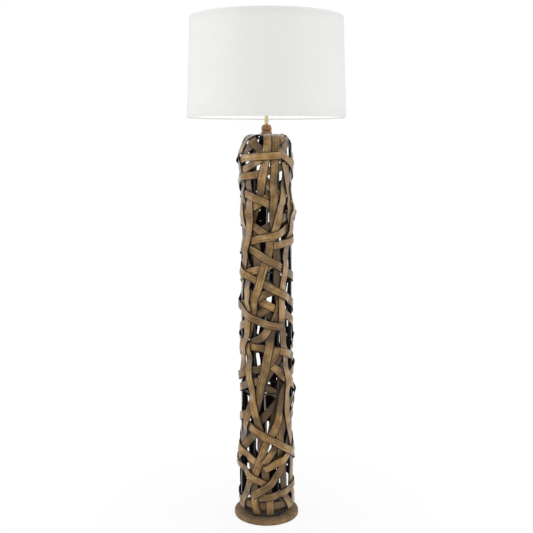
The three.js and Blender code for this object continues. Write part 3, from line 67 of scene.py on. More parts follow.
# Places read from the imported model
fabric_low, fabric_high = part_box("shade_fabric")
wrap_low, wrap_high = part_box("base_cane_wrap")
collar_low, collar_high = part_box("neck_collar")
sleeve_low, sleeve_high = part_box("neck_sleeve")
cap_low, cap_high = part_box("holder_cap")
shell_low, shell_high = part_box("holder_shell")
knob_low, knob_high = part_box("switch_knob")
bulb_low, bulb_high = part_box("bulb")
finial_low, finial_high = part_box("finial")
harp_low, harp_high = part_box("harp")
saddle_low, saddle_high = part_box("harp_saddle")
ring_low, ring_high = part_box("shade_lower_ring")
spider_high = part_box("shade_spider")[1]
lead_low, lead_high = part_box("lamp_lead")
cage_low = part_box("iron_cage")[0]
pipe_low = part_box("neck_pipe")[0]
plate_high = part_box("base_plate")[1]

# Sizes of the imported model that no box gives
BUSHING_HOLE = 6.2 * MM
CAGE_SETBACK = 4.6 * MM
SHOULDER = 28.0 * MM
HUB_RADIUS = 22.0 * MM
CAGE_FOOT = (74.4 * MM, 24.0 * MM)
CAGE_TOP = (70.4 * MM, 1178.0 * MM)
SHADE_FLARE = 11.5 * MM
LEAD_SLACK = 7.0 * MM
RING_RADIUS = 227.4 * MM
PIPE_BORE = 5.3 * MM
STUD_BORE = 2.9 * MM
WASHER_HALF = 2.0 * MM
WASHER_LOW = harp_high.z - 14.0 * MM
SEAT_GAP = 0.3 * MM
CAGE_ROD = 3.0 * MM
RING_WIRE = 2.0 * MM
SHADE_STEPS = 192

# Rattan strips: their tones, and how far the grain is moved on from one strip to the next
STRIPS = sorted(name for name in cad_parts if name.startswith("rattan_strip_"))
STRIP_WIDTH = 24.0 * MM
STRIP_THICKNESS = 2.36 * MM
STRIP_TONES = (1.0, 0.76, 1.2, 0.88, 1.1)
STRIP_SHIFT = 3.7
GROOVE_SHARE = 0.18
GROOVE_SPREAD = 0.14

# Short strips inside the cage: degrees round from the front and the height's share, at each end
INNER_ENDS = (
    (-62.0, 0.395, 72.0, 0.31),
    (-75.0, 0.2, 66.0, 0.355),
    (8.0, 0.2, 52.0, 0.42),
    (-80.0, 0.62, 40.0, 0.53),
    (-30.0, 0.66, 86.0, 0.585),
    (30.0, 0.9, 82.0, 0.7),
    (-86.0, 0.88, -18.0, 0.655),
    (-70.0, 0.1, 50.0, 0.17),
    (-40.0, 0.47, 84.0, 0.56),
    (100.0, 0.15, 215.0, 0.3),
    (110.0, 0.42, 240.0, 0.31),
    (95.0, 0.55, 200.0, 0.72),
    (150.0, 0.5, 268.0, 0.62),
    (120.0, 0.88, 230.0, 0.78),
    (200.0, 0.1, 262.0, 0.24),
)
INNER_INSET = 3.5 * MM
INNER_PITCH = 2.85 * MM
INNER_START = 50.0
INNER_SHIFT = 2.3

# Lights: name, place, target, width, height and power
LIGHTS = (
    ("left_light", (-2.6, 0.2, 1.2), (0.0, 0.0, 0.8), 1.4, 2.4, 23.0),
    ("right_light", (2.6, 0.2, 1.2), (0.0, 0.0, 0.8), 1.4, 2.4, 24.0),
    ("front_light", (-0.6, -3.4, 2.6), (0.0, 0.0, 0.7), 1.6, 1.6, 28.0),
)
FLOOR_SIZE = 14.0
SURROUND_FRONT = 0.9
SURROUND_BACK = 0.38
SENSOR_WIDTH = 36.0
CLIP_END = 60.0


def length(text, default, note):
    """A size that a user may change, in metres."""
    return FloatProperty(
        name=text, description=note, default=default, min=0.0, subtype="DISTANCE", unit="LENGTH"
    )


def number(text, default, note):
    """A plain number that a user may change."""
    return FloatProperty(name=text, description=note, default=default)


def count(text, default, note):
    """A whole number of repeats."""
    return IntProperty(name=text, description=note, default=default, min=1)


def colour(text, default, note):
    """A colour as the linear values that the shader takes."""
    return FloatVectorProperty(
        name=text, description=note, default=default, size=3, min=0.0, max=1.0, subtype="COLOR"
    )


class LampSizes(bpy.types.PropertyGroup):
    """Sizes of the dressed pieces"""

    strip_step: length("Strip step", 5.0 * MM, "Distance between rows along a rattan strip")
    strip_across: count("Strip columns", 8, "Columns across a rattan strip")
    strip_crown: length("Strip crown", 0.45 * MM, "Rise of a strip's middle over its edges")
    strip_groove: length("Strip groove", 0.16 * MM, "Depth of the grooves along a strip")
    strip_edge: length("Strip edge", 0.45 * MM, "Rounding of a strip's edges")
    cane_count: count("Canes", 140, "Canes wound over the base disc")
    cane_ridge: length("Cane ridge", 0.55 * MM, "Height of one wound cane")
    hem_width: length("Hem width", 5.5 * MM, "Width of the rolled hem at both rims of the shade")
    hem_rise: length("Hem rise", 0.5 * MM, "How far the rolled hem stands proud of the fabric")
    fabric_thickness: length("Fabric", 1.2 * MM, "Thickness of the laminated fabric")
    lead_radius: length("Lead radius", 3.0 * MM, "Radius of the pale lamp lead")
    harp_wire: length("Harp wire", 2.0 * MM, "Radius of the harp's wire")
    camera_distance: length("Camera distance", 2.59, "Distance from the camera to the lamp's axis")
    camera_height: length("Camera height", 1.2, "Height of the camera over the floor")
    camera_pitch: number("Camera pitch", 7.4, "Downward tilt of the camera in degrees")
    camera_shift: number("Camera shift", -0.035, "Vertical shift, as a share of the frame")
    lens: number("Lens", 56.8, "Focal length in millimetres")


class LampColours(bpy.types.PropertyGroup):
    """Colours of the finishes"""

    rattan_dark: colour("Dark rattan", (0.105, 0.05, 0.012), "Streaks of the strips")
    rattan_mid: colour("Rattan", (0.295, 0.16, 0.042), "Middle tone of the strips")
    rattan_light: colour("Light rattan", (0.52, 0.34, 0.14), "Highest tone of the strips")
    # Near-black back of the strips: painted shade for the dark inside of the column.
    strip_back: colour("Strip back", (0.012, 0.007, 0.004), "Stained inner face of the strips")
    # Dark edge colour: partly the strips' dark cut edges, partly painted shade along their edges and in their
    # grooves.
    strip_edge: colour("Strip edge", (0.016, 0.008, 0.003), "Cut edge of the strips")
    # Painted shade: the colour a strip is darkened towards where it lies deep in the weave, under the strips
    # that cross it.
    strip_buried_shade: colour("Deep strip", (0.035, 0.018, 0.008), "Strips where they dive under others")
    cane: colour("Cane", (0.25, 0.155, 0.065), "Canes wound over the base")
    fabric: colour("Shade fabric", (0.80, 0.80, 0.785), "Bleached linen of the shade")
    brass: colour("Brass", (0.62, 0.55, 0.33), "Pale brass of the neck and holder")
    wood: colour("Turned wood", (0.36, 0.19, 0.08), "Turned collar under the neck")


# Shader groups


def new_group(name, inputs, outputs):
    """A shader group that takes a vector and numbers and gives numbers, with its two end nodes."""
    tree = bpy.data.node_groups.new(name, "ShaderNodeTree")
    tree.interface.new_socket(name="Vector", in_out="INPUT", socket_type="NodeSocketVector")
    for text, default in inputs.items():
        socket = tree.interface.new_socket(name=text, in_out="INPUT", socket_type="NodeSocketFloat")
        socket.default_value = default
    for text in outputs:
        tree.interface.new_socket(name=text, in_out="OUTPUT", socket_type="NodeSocketFloat")
    return tree, tree.nodes.new("NodeGroupInput"), tree.nodes.new("NodeGroupOutput")


def feed(tree, slot, value):
    """Sets a socket to a number or a tuple, or links it to another socket."""
    if isinstance(value, (int, float, tuple)):
        slot.default_value = value
    else:
        tree.links.new(value, slot)


def maths(tree, kind, *values):
    """A Math node on sockets or numbers; gives its output."""
    node = tree.nodes.new("ShaderNodeMath")
    node.operation = kind
    for slot, value in zip(node.inputs, values):
        feed(tree, slot, value)
    return node.outputs[0]


def stretched(tree, vector, scale):
    """A vector with each of its parts scaled."""
    node = tree.nodes.new("ShaderNodeVectorMath")
    node.operation = "MULTIPLY"
    feed(tree, node.inputs[0], vector)
    feed(tree, node.inputs[1], scale)
    return node.outputs[0]


def split(tree, vector):
    """A vector's three parts."""
    node = tree.nodes.new("ShaderNodeSeparateXYZ")
    feed(tree, node.inputs[0], vector)
    return node.outputs


def noise(tree, vector, scale, detail=3.0, rough=0.55):
    """A noise texture's value."""
    node = tree.nodes.new("ShaderNodeTexNoise")
    for name, value in (("Vector", vector), ("Scale", scale), ("Detail", detail), ("Roughness", rough)):
        feed(tree, node.inputs[name], value)
    return node.outputs["Fac"]


def remap(tree, value, low, high, out_low=0.0, out_high=1.0):
    """A Map Range node from low and high to the two outputs."""
    node = tree.nodes.new("ShaderNodeMapRange")
    names = ("Value", "From Min", "From Max", "To Min", "To Max")
    for name, given in zip(names, (value, low, high, out_low, out_high)):
        feed(tree, node.inputs[name], given)
    return node.outputs["Result"]


def mix_colour(tree, factor, first, second, kind="MIX"):
    """A colour mix; first and second are sockets or colours."""
    node = tree.nodes.new("ShaderNodeMix")
    node.data_type = "RGBA"
    node.blend_type = kind
    for place, value in ((0, factor), (6, first), (7, second)):
        feed(tree, node.inputs[place], (*value, 1.0) if isinstance(value, tuple) else value)
    return node.outputs[2]


def toned(base, factor):
    """A colour made lighter or darker."""
    return tuple(min(factor * value, 1.0) for value in base)


def grain_group():
    """Streaks along a strip: the vector's X runs across it and Y along it, in metres."""
    tree, start, end = new_group(
        "grain", {"Across": 700.0, "Along": 16.0}, ("Streaks", "Patches", "Height")
    )
    size = tree.nodes.new("ShaderNodeCombineXYZ")
    for place, value in enumerate((start.outputs["Across"], start.outputs["Along"], 1.0)):
        feed(tree, size.inputs[place], value)
    run = stretched(tree, start.outputs["Vector"], size.outputs[0])
    streaks = maths(tree, "MULTIPLY", noise(tree, run, 1.0, detail=4.0, rough=0.6), 0.68)
    fine = maths(tree, "MULTIPLY", noise(tree, run, 3.1, detail=2.0), 0.32)
    together = maths(tree, "ADD", streaks, fine)
    feed(tree, end.inputs["Streaks"], together)
    feed(tree, end.inputs["Patches"], noise(tree, start.outputs["Vector"], 26.0, detail=2.0))
    feed(tree, end.inputs["Height"], remap(tree, together, 0.3, 0.7))
    return tree


def weave_group():
    """A plain cloth weave: the vector's X and Y are metres along the two threads."""
    tree, start, end = new_group("cloth_weave", {"Threads": 900.0}, ("Height", "Slubs"))
    vector = start.outputs["Vector"]
    across, up = split(tree, vector)[:2]
    threads = maths(tree, "MULTIPLY", start.outputs["Threads"], math.pi)
    warp = maths(tree, "SINE", maths(tree, "MULTIPLY", across, threads))
    weft = maths(tree, "SINE", maths(tree, "MULTIPLY", up, threads))
    thick, thin = 60.0, 1400.0
    along = noise(tree, stretched(tree, vector, (thick, thin, 1.0)), 1.0)
    upright = noise(tree, stretched(tree, vector, (thin, thick, 1.0)), 1.0)
    slubs = maths(tree, "ADD", along, upright)
    feed(tree, end.inputs["Height"], maths(tree, "MULTIPLY", warp, weft))
    feed(tree, end.inputs["Slubs"], maths(tree, "MULTIPLY", slubs, 0.5))
    return tree


def group_node(tree, name, vector, **values):
    """A shared group placed in a material with its own values; gives its outputs."""
    node = tree.nodes.new("ShaderNodeGroup")
    makers = {"grain": grain_group, "cloth_weave": weave_group}
    node.node_tree = bpy.data.node_groups.get(name) or makers[name]()
    feed(tree, node.inputs["Vector"], vector)
    for slot, value in values.items():
        node.inputs[slot].default_value = value
    return node.outputs


def uv_vector(tree):
    """The piece's own map, in metres."""
    node = tree.nodes.new("ShaderNodeUVMap")
    node.uv_map = UV_NAME
    return node.outputs[0]


def object_vector(tree):
    """Object coordinates."""
    return tree.nodes.new("ShaderNodeTexCoord").outputs["Object"]


def paint(tree, shader, base, height, depth, strength):
    """Gives a shader its colour, and a bump from a height; the depth is in millimetres."""
    node = tree.nodes.new("ShaderNodeBump")
    node.inputs["Distance"].default_value = depth * MM
    node.inputs["Strength"].default_value = strength
    feed(tree, node.inputs["Height"], height)
    feed(tree, shader.inputs["Normal"], node.outputs["Normal"])
    feed(tree, shader.inputs["Base Color"], base)


def new_material(name, base=(0.8, 0.8, 0.8), rough=0.5, metal=0.0, **plain):
    """A Principled material; gives the material, its tree and its shader."""
    material = bpy.data.materials.new(name)
    material.use_nodes = True
    tree = material.node_tree
    shader = tree.nodes["Principled BSDF"]
    shader.inputs["Base Color"].default_value = (*base[:3], 1.0)
    shader.inputs["Roughness"].default_value = rough
    shader.inputs["Metallic"].default_value = metal
    for text, value in plain.items():
        shader.inputs[SOCKETS.get(text, text.replace("_", " ").title())].default_value = value
    return material, tree, shader


# Finishes


def rattan(name, tone):
    """Outer face of a strip: streaked along its run, patchy and glossy; dark at its edges, partly as painted
    shade, with painted shade in its grooves and where it dives under other strips.
    """
    colours = bpy.context.scene.lamp_colours
    material, tree, shader = new_material(
        name,
        coat_weight=0.45,
        coat_roughness=0.34,
        sheen_weight=0.6,
        sheen_roughness=0.36,
        specular_ior_level=0.15,
    )
    vector = uv_vector(tree)
    grain = group_node(tree, "grain", vector, Across=520.0, Along=9.0)
    streaks = remap(tree, grain["Streaks"], 0.4, 0.58)
    base = mix_colour(tree, streaks, colours.rattan_dark[:], colours.rattan_mid[:])
    lights = remap(tree, grain["Patches"], 0.42, 0.64, 0.0, 0.85)
    base = mix_colour(tree, maths(tree, "MULTIPLY", lights, streaks), base, colours.rattan_light[:])
    # Dark edges and grooves: partly the dark cut edges, partly painted shade.
    base = mix_colour(tree, dark_edge_and_shade_mask(tree, vector), base, colours.strip_edge[:])
    # Painted shade: darker where the strip lies low, diving under the strips that cross it.
    rise = tree.nodes.new("ShaderNodeAttribute")
    rise.attribute_name = RISE_NAME
    buried, free = 1.8 * MM, 6.5 * MM
    dive_shade = remap(tree, rise.outputs["Fac"], buried, free, 0.32, 1.0)
    base = mix_colour(tree, dive_shade, colours.strip_buried_shade[:], base)
    base = mix_colour(tree, 1.0, base, (tone, tone, tone), kind="MULTIPLY")
    feed(tree, shader.inputs["Roughness"], remap(tree, grain["Streaks"], 0.3, 0.7, 0.52, 0.34))
    paint(tree, shader, base, grain["Height"], depth=0.3, strength=0.9)
    return material


def dark_edge_and_shade_mask(tree, vector):
    """Full at both long edges of a strip, for their dark cut and painted shade, and fainter in its two grooves
    as painted shade.
    """
    off_centre = maths(tree, "ABSOLUTE", split(tree, vector)[0])
    rim = remap(tree, off_centre, 0.39 * STRIP_WIDTH, 0.44 * STRIP_WIDTH, 0.0, 0.97)
    near = maths(tree, "ABSOLUTE", maths(tree, "SUBTRACT", off_centre, GROOVE_SHARE * STRIP_WIDTH))
    bottom, brim = 0.2 * MM, 0.9 * MM
    return maths(tree, "MAXIMUM", rim, remap(tree, near, bottom, brim, 0.36, 0.0))


def plain_grain(name, base, factor, rough, depth, gloss):
    """A duller finish on the piece's own map: a colour streaked with a lighter or darker tone of it."""
    material, tree, shader = new_material(name, rough=rough, specular_ior_level=gloss)
    grain = group_node(tree, "grain", uv_vector(tree), Across=620.0, Along=13.0)
    mixed = mix_colour(tree, remap(tree, grain["Streaks"], 0.35, 0.65), base, toned(base, factor))
    paint(tree, shader, mixed, grain["Height"], depth, strength=0.8)
    return material


def speckled(name, base, other, rough, metal=0.0, scale=240.0, depth=0.05, spread=0.1, **plain):
    """A finish on Object coordinates: two colours, uneven roughness and a fine bump."""
    material, tree, shader = new_material(name, rough=rough, metal=metal, **plain)
    vector = object_vector(tree)
    coarse = noise(tree, vector, scale * 0.2, detail=3.0)
    fine = noise(tree, vector, scale * 4.0, detail=2.0)
    mixed = mix_colour(tree, remap(tree, coarse, 0.35, 0.65), base, other)
    uneven = remap(tree, coarse, 0.3, 0.7, max(rough - spread, 0.05), rough + spread)
    feed(tree, shader.inputs["Roughness"], uneven)
    paint(tree, shader, mixed, fine, depth, strength=0.6)
    return material


def linen():
    """Bleached linen: a plain weave with slubs on the piece's own map."""
    base = bpy.context.scene.lamp_colours.fabric[:]
    material, tree, shader = new_material("shade_linen", rough=0.92, sheen_weight=0.12)
    weave = group_node(tree, "cloth_weave", uv_vector(tree), Threads=1150.0)
    mixed = mix_colour(tree, remap(tree, weave["Slubs"], 0.4, 0.6), base, toned(base, 0.955))
    height = maths(tree, "ADD", weave["Height"], weave["Slubs"])
    paint(tree, shader, mixed, height, depth=0.12, strength=0.5)
    return material


def turned_wood():
    """Stained wood of the collar, its grain along Z."""
    wood = bpy.context.scene.lamp_colours.wood[:]
    material, tree, shader = new_material("turned_wood", rough=0.42, specular_ior_level=0.25)
    fibres = noise(tree, stretched(tree, object_vector(tree), (420.0, 420.0, 45.0)), 1.0, detail=4.0)
    mixed = mix_colour(tree, remap(tree, fibres, 0.35, 0.65), toned(wood, 0.55), wood)
    paint(tree, shader, mixed, fibres, depth=0.12, strength=0.7)
    return material


def dress_nodes():
    """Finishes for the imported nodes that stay."""
    iron = speckled("painted_iron", (0.012, 0.010, 0.009), (0.03, 0.026, 0.023), 0.5, metal=0.3, depth=0.2)
    steel = speckled("zinc_steel", (0.52, 0.51, 0.48), (0.40, 0.39, 0.37), 0.36, metal=1.0, depth=0.03)
    felt = speckled("felt", (0.022, 0.018, 0.015), (0.05, 0.042, 0.036), 0.95, scale=900.0, depth=0.5)
    card = speckled("card", (0.62, 0.55, 0.42), (0.52, 0.45, 0.33), 0.8, scale=500.0, depth=0.1)
    rubber = speckled("black_plastic", (0.012, 0.012, 0.012), (0.022, 0.021, 0.02), 0.42, depth=0.04)
    finishes = {
        "base_felt": (felt, "felt"),
        "base_plate": (iron, "iron"),
        "lead_bushing": (rubber, "black_plastic"),
        "neck_pipe": (steel, "steel"),
        "lock_nut": (steel, "steel"),
        "holder_liner": (card, "card"),
    }
    for name, (material, slot) in finishes.items():
        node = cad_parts[name]
        node.data.materials.clear()
        node.data.materials.append(material)


# Shapes


def placed(name, data):
    """An object of the scene that shows the data."""
    thing = bpy.data.objects.new(name, data)
    bpy.context.scene.collection.objects.link(thing)
    return thing


def finish_piece(bm, name, body, nodes, materials):
    """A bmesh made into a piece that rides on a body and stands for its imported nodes."""
    mesh = bpy.data.meshes.new(name)
    bm.to_mesh(mesh)
    bm.free()
    for material in materials:
        mesh.materials.append(material)
    piece = placed(name, mesh)
    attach(piece, body)
    if nodes:
        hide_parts(*nodes)
    return piece


def soften(bm, limit=40.0):
    """Smooth faces, with an edge left sharp where it turns by more than the limit in degrees."""
    for face in bm.faces:
        face.smooth = True
    for edge in bm.edges:
        edge.smooth = not edge.is_manifold or edge.calc_face_angle(0.0) < math.radians(limit)


def round_edges(bm, width):
    """Bevels the edges that turn clearly."""
    limit = math.radians(30.0)
    sharp = [edge for edge in bm.edges if edge.is_manifold and edge.calc_face_angle(0.0) > limit]
    bmesh.ops.bevel(
        bm,
        geom=sharp,
        offset=width,
        offset_type="OFFSET",
        segments=2,
        profile=0.5,
        affect="EDGES",
        material=-1,
        clamp_overlap=True,
    )


def lathe(profile, steps, closed=True):
    """Radius and height pairs turned about Z into a shell whose faces point out."""
    bm = bmesh.new()
    verts = [bm.verts.new((radius, 0.0, height)) for radius, height in profile]
    edges = [bm.edges.new(pair) for pair in zip(verts, verts[1:])]
    if closed:
        edges.append(bm.edges.new((verts[-1], verts[0])))
    bmesh.ops.spin(
        bm,
        geom=verts + edges,
        cent=(0.0, 0.0, 0.0),
        axis=(0.0, 0.0, 1.0),
        angle=2 * math.pi,
        steps=steps,
        use_merge=True,
        use_duplicate=False,
    )
    bmesh.ops.remove_doubles(bm, verts=bm.verts, dist=WELD)
    bmesh.ops.recalc_face_normals(bm, faces=bm.faces)
    return bm


def turned_piece(name, profile, body, nodes, material, steps=64, edge=EDGE):
    """A turned piece with rounded edges."""
    bm = lathe(profile, steps)
    if edge:
        round_edges(bm, edge)
    soften(bm)
    return finish_piece(bm, name, body, nodes, [material])


def arc(middle, radius, start, end, steps):
    """Points of an arc in a profile, its angles in degrees."""
    turns = [math.radians(start + (end - start) * k / steps) for k in range(steps + 1)]
    return [(middle[0] + radius * math.cos(a), middle[1] + radius * math.sin(a)) for a in turns]


def round_axis(radius, turn, height):
    """A place round the lamp's axis, its turn counted from the front."""
    return Vector((radius * math.sin(turn), -radius * math.cos(turn), height))


def catmull(points, k, t):
    """A point of the smooth curve through points, t of the way from point k to the next."""
    before = points[max(k - 1, 0)]
    start = points[k]
    end = points[k + 1]
    after = points[min(k + 2, len(points) - 1)]
    linear = (end - before) * t
    square = (2 * before - 5 * start + 4 * end - after) * t * t
    cube = (3 * start - 3 * end + after - before) * t * t * t
    return start + (linear + square + cube) * 0.5


def smooth_run(points, counts):
    """The smooth curve through points, with the given number of steps in each span."""
    run = [points[0].copy()]
    for k, steps in enumerate(counts):
        run.extend(catmull(points, k, (i + 1) / steps) for i in range(steps))
    return run


def wire_curve(name, routes, radius, sides):
    """A curve of round wires along the routes."""
    curve = bpy.data.curves.new(name, "CURVE")
    curve.dimensions = "3D"
    curve.bevel_depth = radius
    curve.bevel_resolution = sides // 2 - 1
    curve.use_fill_caps = True
    for route in routes:
        spline = curve.splines.new("POLY")
        spline.points.add(len(route) - 1)
        for point, place in zip(spline.points, route):
            point.co = (*place, 1.0)
    return curve


def tube(name, routes, radius, sides=12):
    """A bmesh of round wires along the routes."""
    curve = wire_curve(name, routes, radius, sides)
    holder = bpy.data.objects.new(name, curve)
    mesh = bpy.data.meshes.new_from_object(holder)
    bm = bmesh.new()
    bm.from_mesh(mesh)
    bmesh.ops.remove_doubles(bm, verts=bm.verts, dist=WELD)
    bmesh.ops.recalc_face_normals(bm, faces=bm.faces)
    bpy.data.objects.remove(holder)
    bpy.data.curves.remove(curve)
    bpy.data.meshes.remove(mesh)
    return bm


def wire_ring(radius, height, wire, steps=144):
    """A ring of round wire about Z."""
    return lathe(arc((radius, height), wire, 0.0, 330.0, 11), steps)


def washer(bore, radius, low, tall, edge):
    """A flat ring about Z with rounded edges."""
    bm = lathe([(bore, low), (radius, low), (radius, low + tall), (bore, low + tall)], 48)
    round_edges(bm, edge)
    return bm


def merged(parts):
    """Several bmeshes as one, each still a closed shell of its own."""
    whole = bmesh.new()
    for part in parts:
        mesh = bpy.data.meshes.new("part")
        part.to_mesh(mesh)
        part.free()
        whole.from_mesh(mesh)
        bpy.data.meshes.remove(mesh)
    return whole


def wrap_map(bm, radius, inward=0.0):
    """Gives a shell about Z its own map: metres round it and up it, less a share of the way out."""
    layer = bm.loops.layers.uv.new(UV_NAME)
    for face in bm.faces:
        centre = face.calc_center_median()
        middle = math.atan2(centre.y, centre.x)
        for loop in face.loops:
            place = loop.vert.co
            angle = middle + math.remainder(math.atan2(place.y, place.x) - middle, 2 * math.pi)
            loop[layer].uv = (angle * radius, place.z - inward * place.xy.length)


# Rattan strips


def corner_loop(shell):
    """The strip's short edges in order all round it, each as its two corners."""
    partner = {}
    for vert in shell.verts:
        short = min(vert.link_edges, key=lambda edge: abs(edge.calc_length() - STRIP_THICKNESS))
        partner[vert] = (short.other_vert(vert), short)
    first = min(shell.verts, key=lambda vert: vert.co.z)
    loop = [(first, partner[first][0])]
    for _ in range(len(shell.verts)):
        pair = loop[-1]
        tips = [next(v for v in face.verts if v not in pair) for face in partner[pair[0]][1].link_faces]
        last = loop[-2] if len(loop) > 1 else ()
        tip = next(v for v in tips if v not in last)
        if len(loop) > 2 and tip in loop[0]:
            return loop
        loop.append((tip, partner[tip][0]))
    raise RuntimeError("a packed strip's corners make no closed loop")


def outward(loop):
    """The pairs of the loop as places, each with its inner corner first."""
    places = []
    for one, other in loop:
        one, other = one.co.copy(), other.co.copy()
        if places:
            turned = (other - one).dot(places[-1][1] - places[-1][0]) < 0
        else:
            turned = other.xy.length < one.xy.length
        places.append((other, one) if turned else (one, other))
    return places


def two_sides(loop):
    """Cuts the loop at the strip's ends into its two long sides, both from the same end."""
    total = len(loop)
    half = total // 2
    middles = [(inner + outer) / 2 for inner, outer in loop]

    def unevenness(start):
        widths = [(middles[(start + k) % total] - middles[start - 1 - k]).length for k in range(half)]
        return max(widths) - min(widths)

    start = min(range(half), key=unevenness)
    left = [loop[(start + k) % total] for k in range(half)]
    right = [loop[start - 1 - k] for k in range(half)]
    return left, right


def strip_rails(node, step):
    """Smooth inner and outer rails of both sides of a packed strip."""
    shell = bmesh.new()
    shell.from_mesh(node.data)
    bmesh.ops.remove_doubles(shell, verts=shell.verts, dist=WELD)
    left, right = two_sides(outward(corner_loop(shell)))
    shell.free()
    along = left[1][1] - left[0][1]
    across = right[0][1] - left[0][1]
    up = left[0][1] - left[0][0]
    if across.cross(along).dot(up) < 0:
        left, right = right, left
    counts = []
    for k in range(len(left) - 1):
        span = max((side[k + 1][1] - side[k][1]).length for side in (left, right))
        counts.append(max(round(span / step), 1))
    return [smooth_run([pair[layer] for pair in side], counts) for side in (left, right) for layer in (0, 1)]


def strip_height(place, sizes):
    """Height of a strip's outer face over its edges: crowned, with two shallow grooves."""
    off = 2 * place - 1
    crown = sizes.strip_crown * (1 - off * off)
    groove = sizes.strip_groove * math.exp(-(((abs(off) - 2 * GROOVE_SHARE) / GROOVE_SPREAD) ** 2))
    return crown - groove


def rise_over_wall(place):
    """How far a place stands outside the weave's inmost surface, over the wall or the rounded shoulder."""
    radius = place.xy.length
    top_radius = CAGE_TOP[0] + CAGE_SETBACK
    foot_radius = CAGE_FOOT[0] + CAGE_SETBACK
    if place.z < CAGE_TOP[1]:
        up = (place.z - CAGE_FOOT[1]) / (CAGE_TOP[1] - CAGE_FOOT[1])
        return radius - foot_radius - (top_radius - foot_radius) * up
    over = place.z - CAGE_TOP[1]
    return math.hypot(max(radius - top_radius + SHOULDER, 0.0), over) - SHOULDER


def strip_mesh(rails, sizes, shift):
    """A grid laid along the rails, mapped in metres across and along."""
    left_in, left_out, right_in, right_out = rails
    rows = len(left_out)
    runs = [0.0]
    for k in range(1, rows):
        here = left_out[k] + right_out[k]
        before = left_out[k - 1] + right_out[k - 1]
        runs.append(runs[-1] + (here - before).length / 2)
    bm = bmesh.new()
    layer = bm.loops.layers.uv.new(UV_NAME)
    rise = bm.verts.layers.float.new(RISE_NAME)
    bmesh.ops.create_grid(bm, x_segments=sizes.strip_across, y_segments=rows - 1, size=1.0)
    places = {v: ((v.co.x + 1) / 2, round((v.co.y + 1) / 2 * (rows - 1))) for v in bm.verts}
    for vert, (place, row) in places.items():
        up = (left_out[row] - left_in[row]).lerp(right_out[row] - right_in[row], place).normalized()
        flat = left_out[row].lerp(right_out[row], place)
        vert[rise] = rise_over_wall(flat)
        vert.co = flat + up * strip_height(place, sizes)
    for face in bm.faces:
        face.smooth = True
        for loop in face.loops:
            place, row = places[loop.vert]
            loop[layer].uv = ((place - 0.5) * STRIP_WIDTH, runs[row] + shift)
    return bm


def lay_strip(name, rails, shift, materials, nodes=()):
    """One rattan strip along its rails."""
    sizes = bpy.context.scene.lamp_sizes
    piece = finish_piece(strip_mesh(rails, sizes, shift), name, STAND, nodes, materials)
    thicken(piece, sizes.strip_edge)


def thicken(piece, edge):
    """Gives a strip its thickness inwards, a near-black back as painted shade, dark edges that are partly
    painted shade, and rounded corners.
    """
    wall = piece.modifiers.new("thickness", "SOLIDIFY")
    wall.thickness = STRIP_THICKNESS
    wall.offset = -1.0
    wall.material_offset = 1
    wall.material_offset_rim = 2
    rounding = piece.modifiers.new("rounded_edges", "BEVEL")
    rounding.width = edge
    rounding.segments = 2
    rounding.limit_method = "ANGLE"
    rounding.angle_limit = math.radians(50.0)
    rounding.use_clamp_overlap = True


def centre_line(ends):
    """Points along the middle of an inner strip."""
    first, low, last, high = ends
    steps = 24
    points = []
    for k in range(steps + 1):
        part = k / steps
        radius, height = lean(low + (high - low) * part)
        points.append(round_axis(radius, math.radians(first + (last - first) * part), height))
    return points


def inner_layers():
    """A layer for each inner strip: the outermost in which it meets no strip laid before it."""
    lines = [centre_line(ends) for ends in INNER_ENDS]
    room = 1.15 * STRIP_WIDTH
    layers = []
    for index, line in enumerate(lines):
        taken = {layers[k] for k in range(index) if nearest(line, lines[k]) < room}
        layers.append(min(set(range(len(lines))) - taken))
    return layers


def nearest(line, other):
    """Least distance between the points of two lines."""
    return min((one - two).length for one in line for two in other)


def inner_rails(ends, layer, step):
    """Rails of a strip that winds inside the cage's rods from one end to the other."""
    first, low, last, high = ends
    foot = CAGE_FOOT[1]
    tall = CAGE_TOP[1] - foot
    reach = CAGE_TOP[0] * math.radians(last - first)
    run = math.hypot(reach, tall * (high - low))
    lean_over = reach / run
    climb = tall * (high - low) / run
    rows = max(round(run / step), 2)
    rails = [[], [], [], []]
    for row in range(rows + 1):
        part = row / rows
        up = low + (high - low) * part
        outer = lean(up)[0] - INNER_INSET - layer * INNER_PITCH
        turn = math.radians(first + (last - first) * part)
        for side, rail in ((-1, 0), (1, 2)):
            angle = turn + side * climb * STRIP_WIDTH / 2 / outer
            height = foot + tall * up - side * lean_over * STRIP_WIDTH / 2
            for inward, place in ((STRIP_THICKNESS, rail), (0.0, rail + 1)):
                rails[place].append(round_axis(outer - inward, angle, height))
    return rails


# Base, neck and holder


def wrapped_base():
    """The disc wound with canes: a low ridge for each cane over its top and down its rim."""
    sizes = bpy.context.scene.lamp_sizes
    outer = wrap_high.x - sizes.cane_ridge
    top = wrap_high.z - sizes.cane_ridge
    low = wrap_low.z
    wall = plate_high.x + SEAT_GAP
    under = plate_high.z + SEAT_GAP
    foot = 3.0 * MM
    rim = 6.0 * MM
    rows = 9
    spread = (outer - BUSHING_HOLE) / rows
    profile = [(wall, low), (outer - foot, low)]
    profile += arc((outer - foot, low + foot), foot, -60.0, 0.0, 3)
    profile += arc((outer - rim, top - rim), rim, 0.0, 90.0, 6)
    profile += [(outer - rim - spread * k, top) for k in range(1, rows - 1)]
    profile += [(BUSHING_HOLE, top), (BUSHING_HOLE, under), (wall, under)]
    bm = lathe(profile, sizes.cane_count * 4)
    raise_canes(bm, sizes, outer, wall, under)
    wrap_map(bm, outer, inward=1.0)
    soften(bm, 50.0)
    return bm


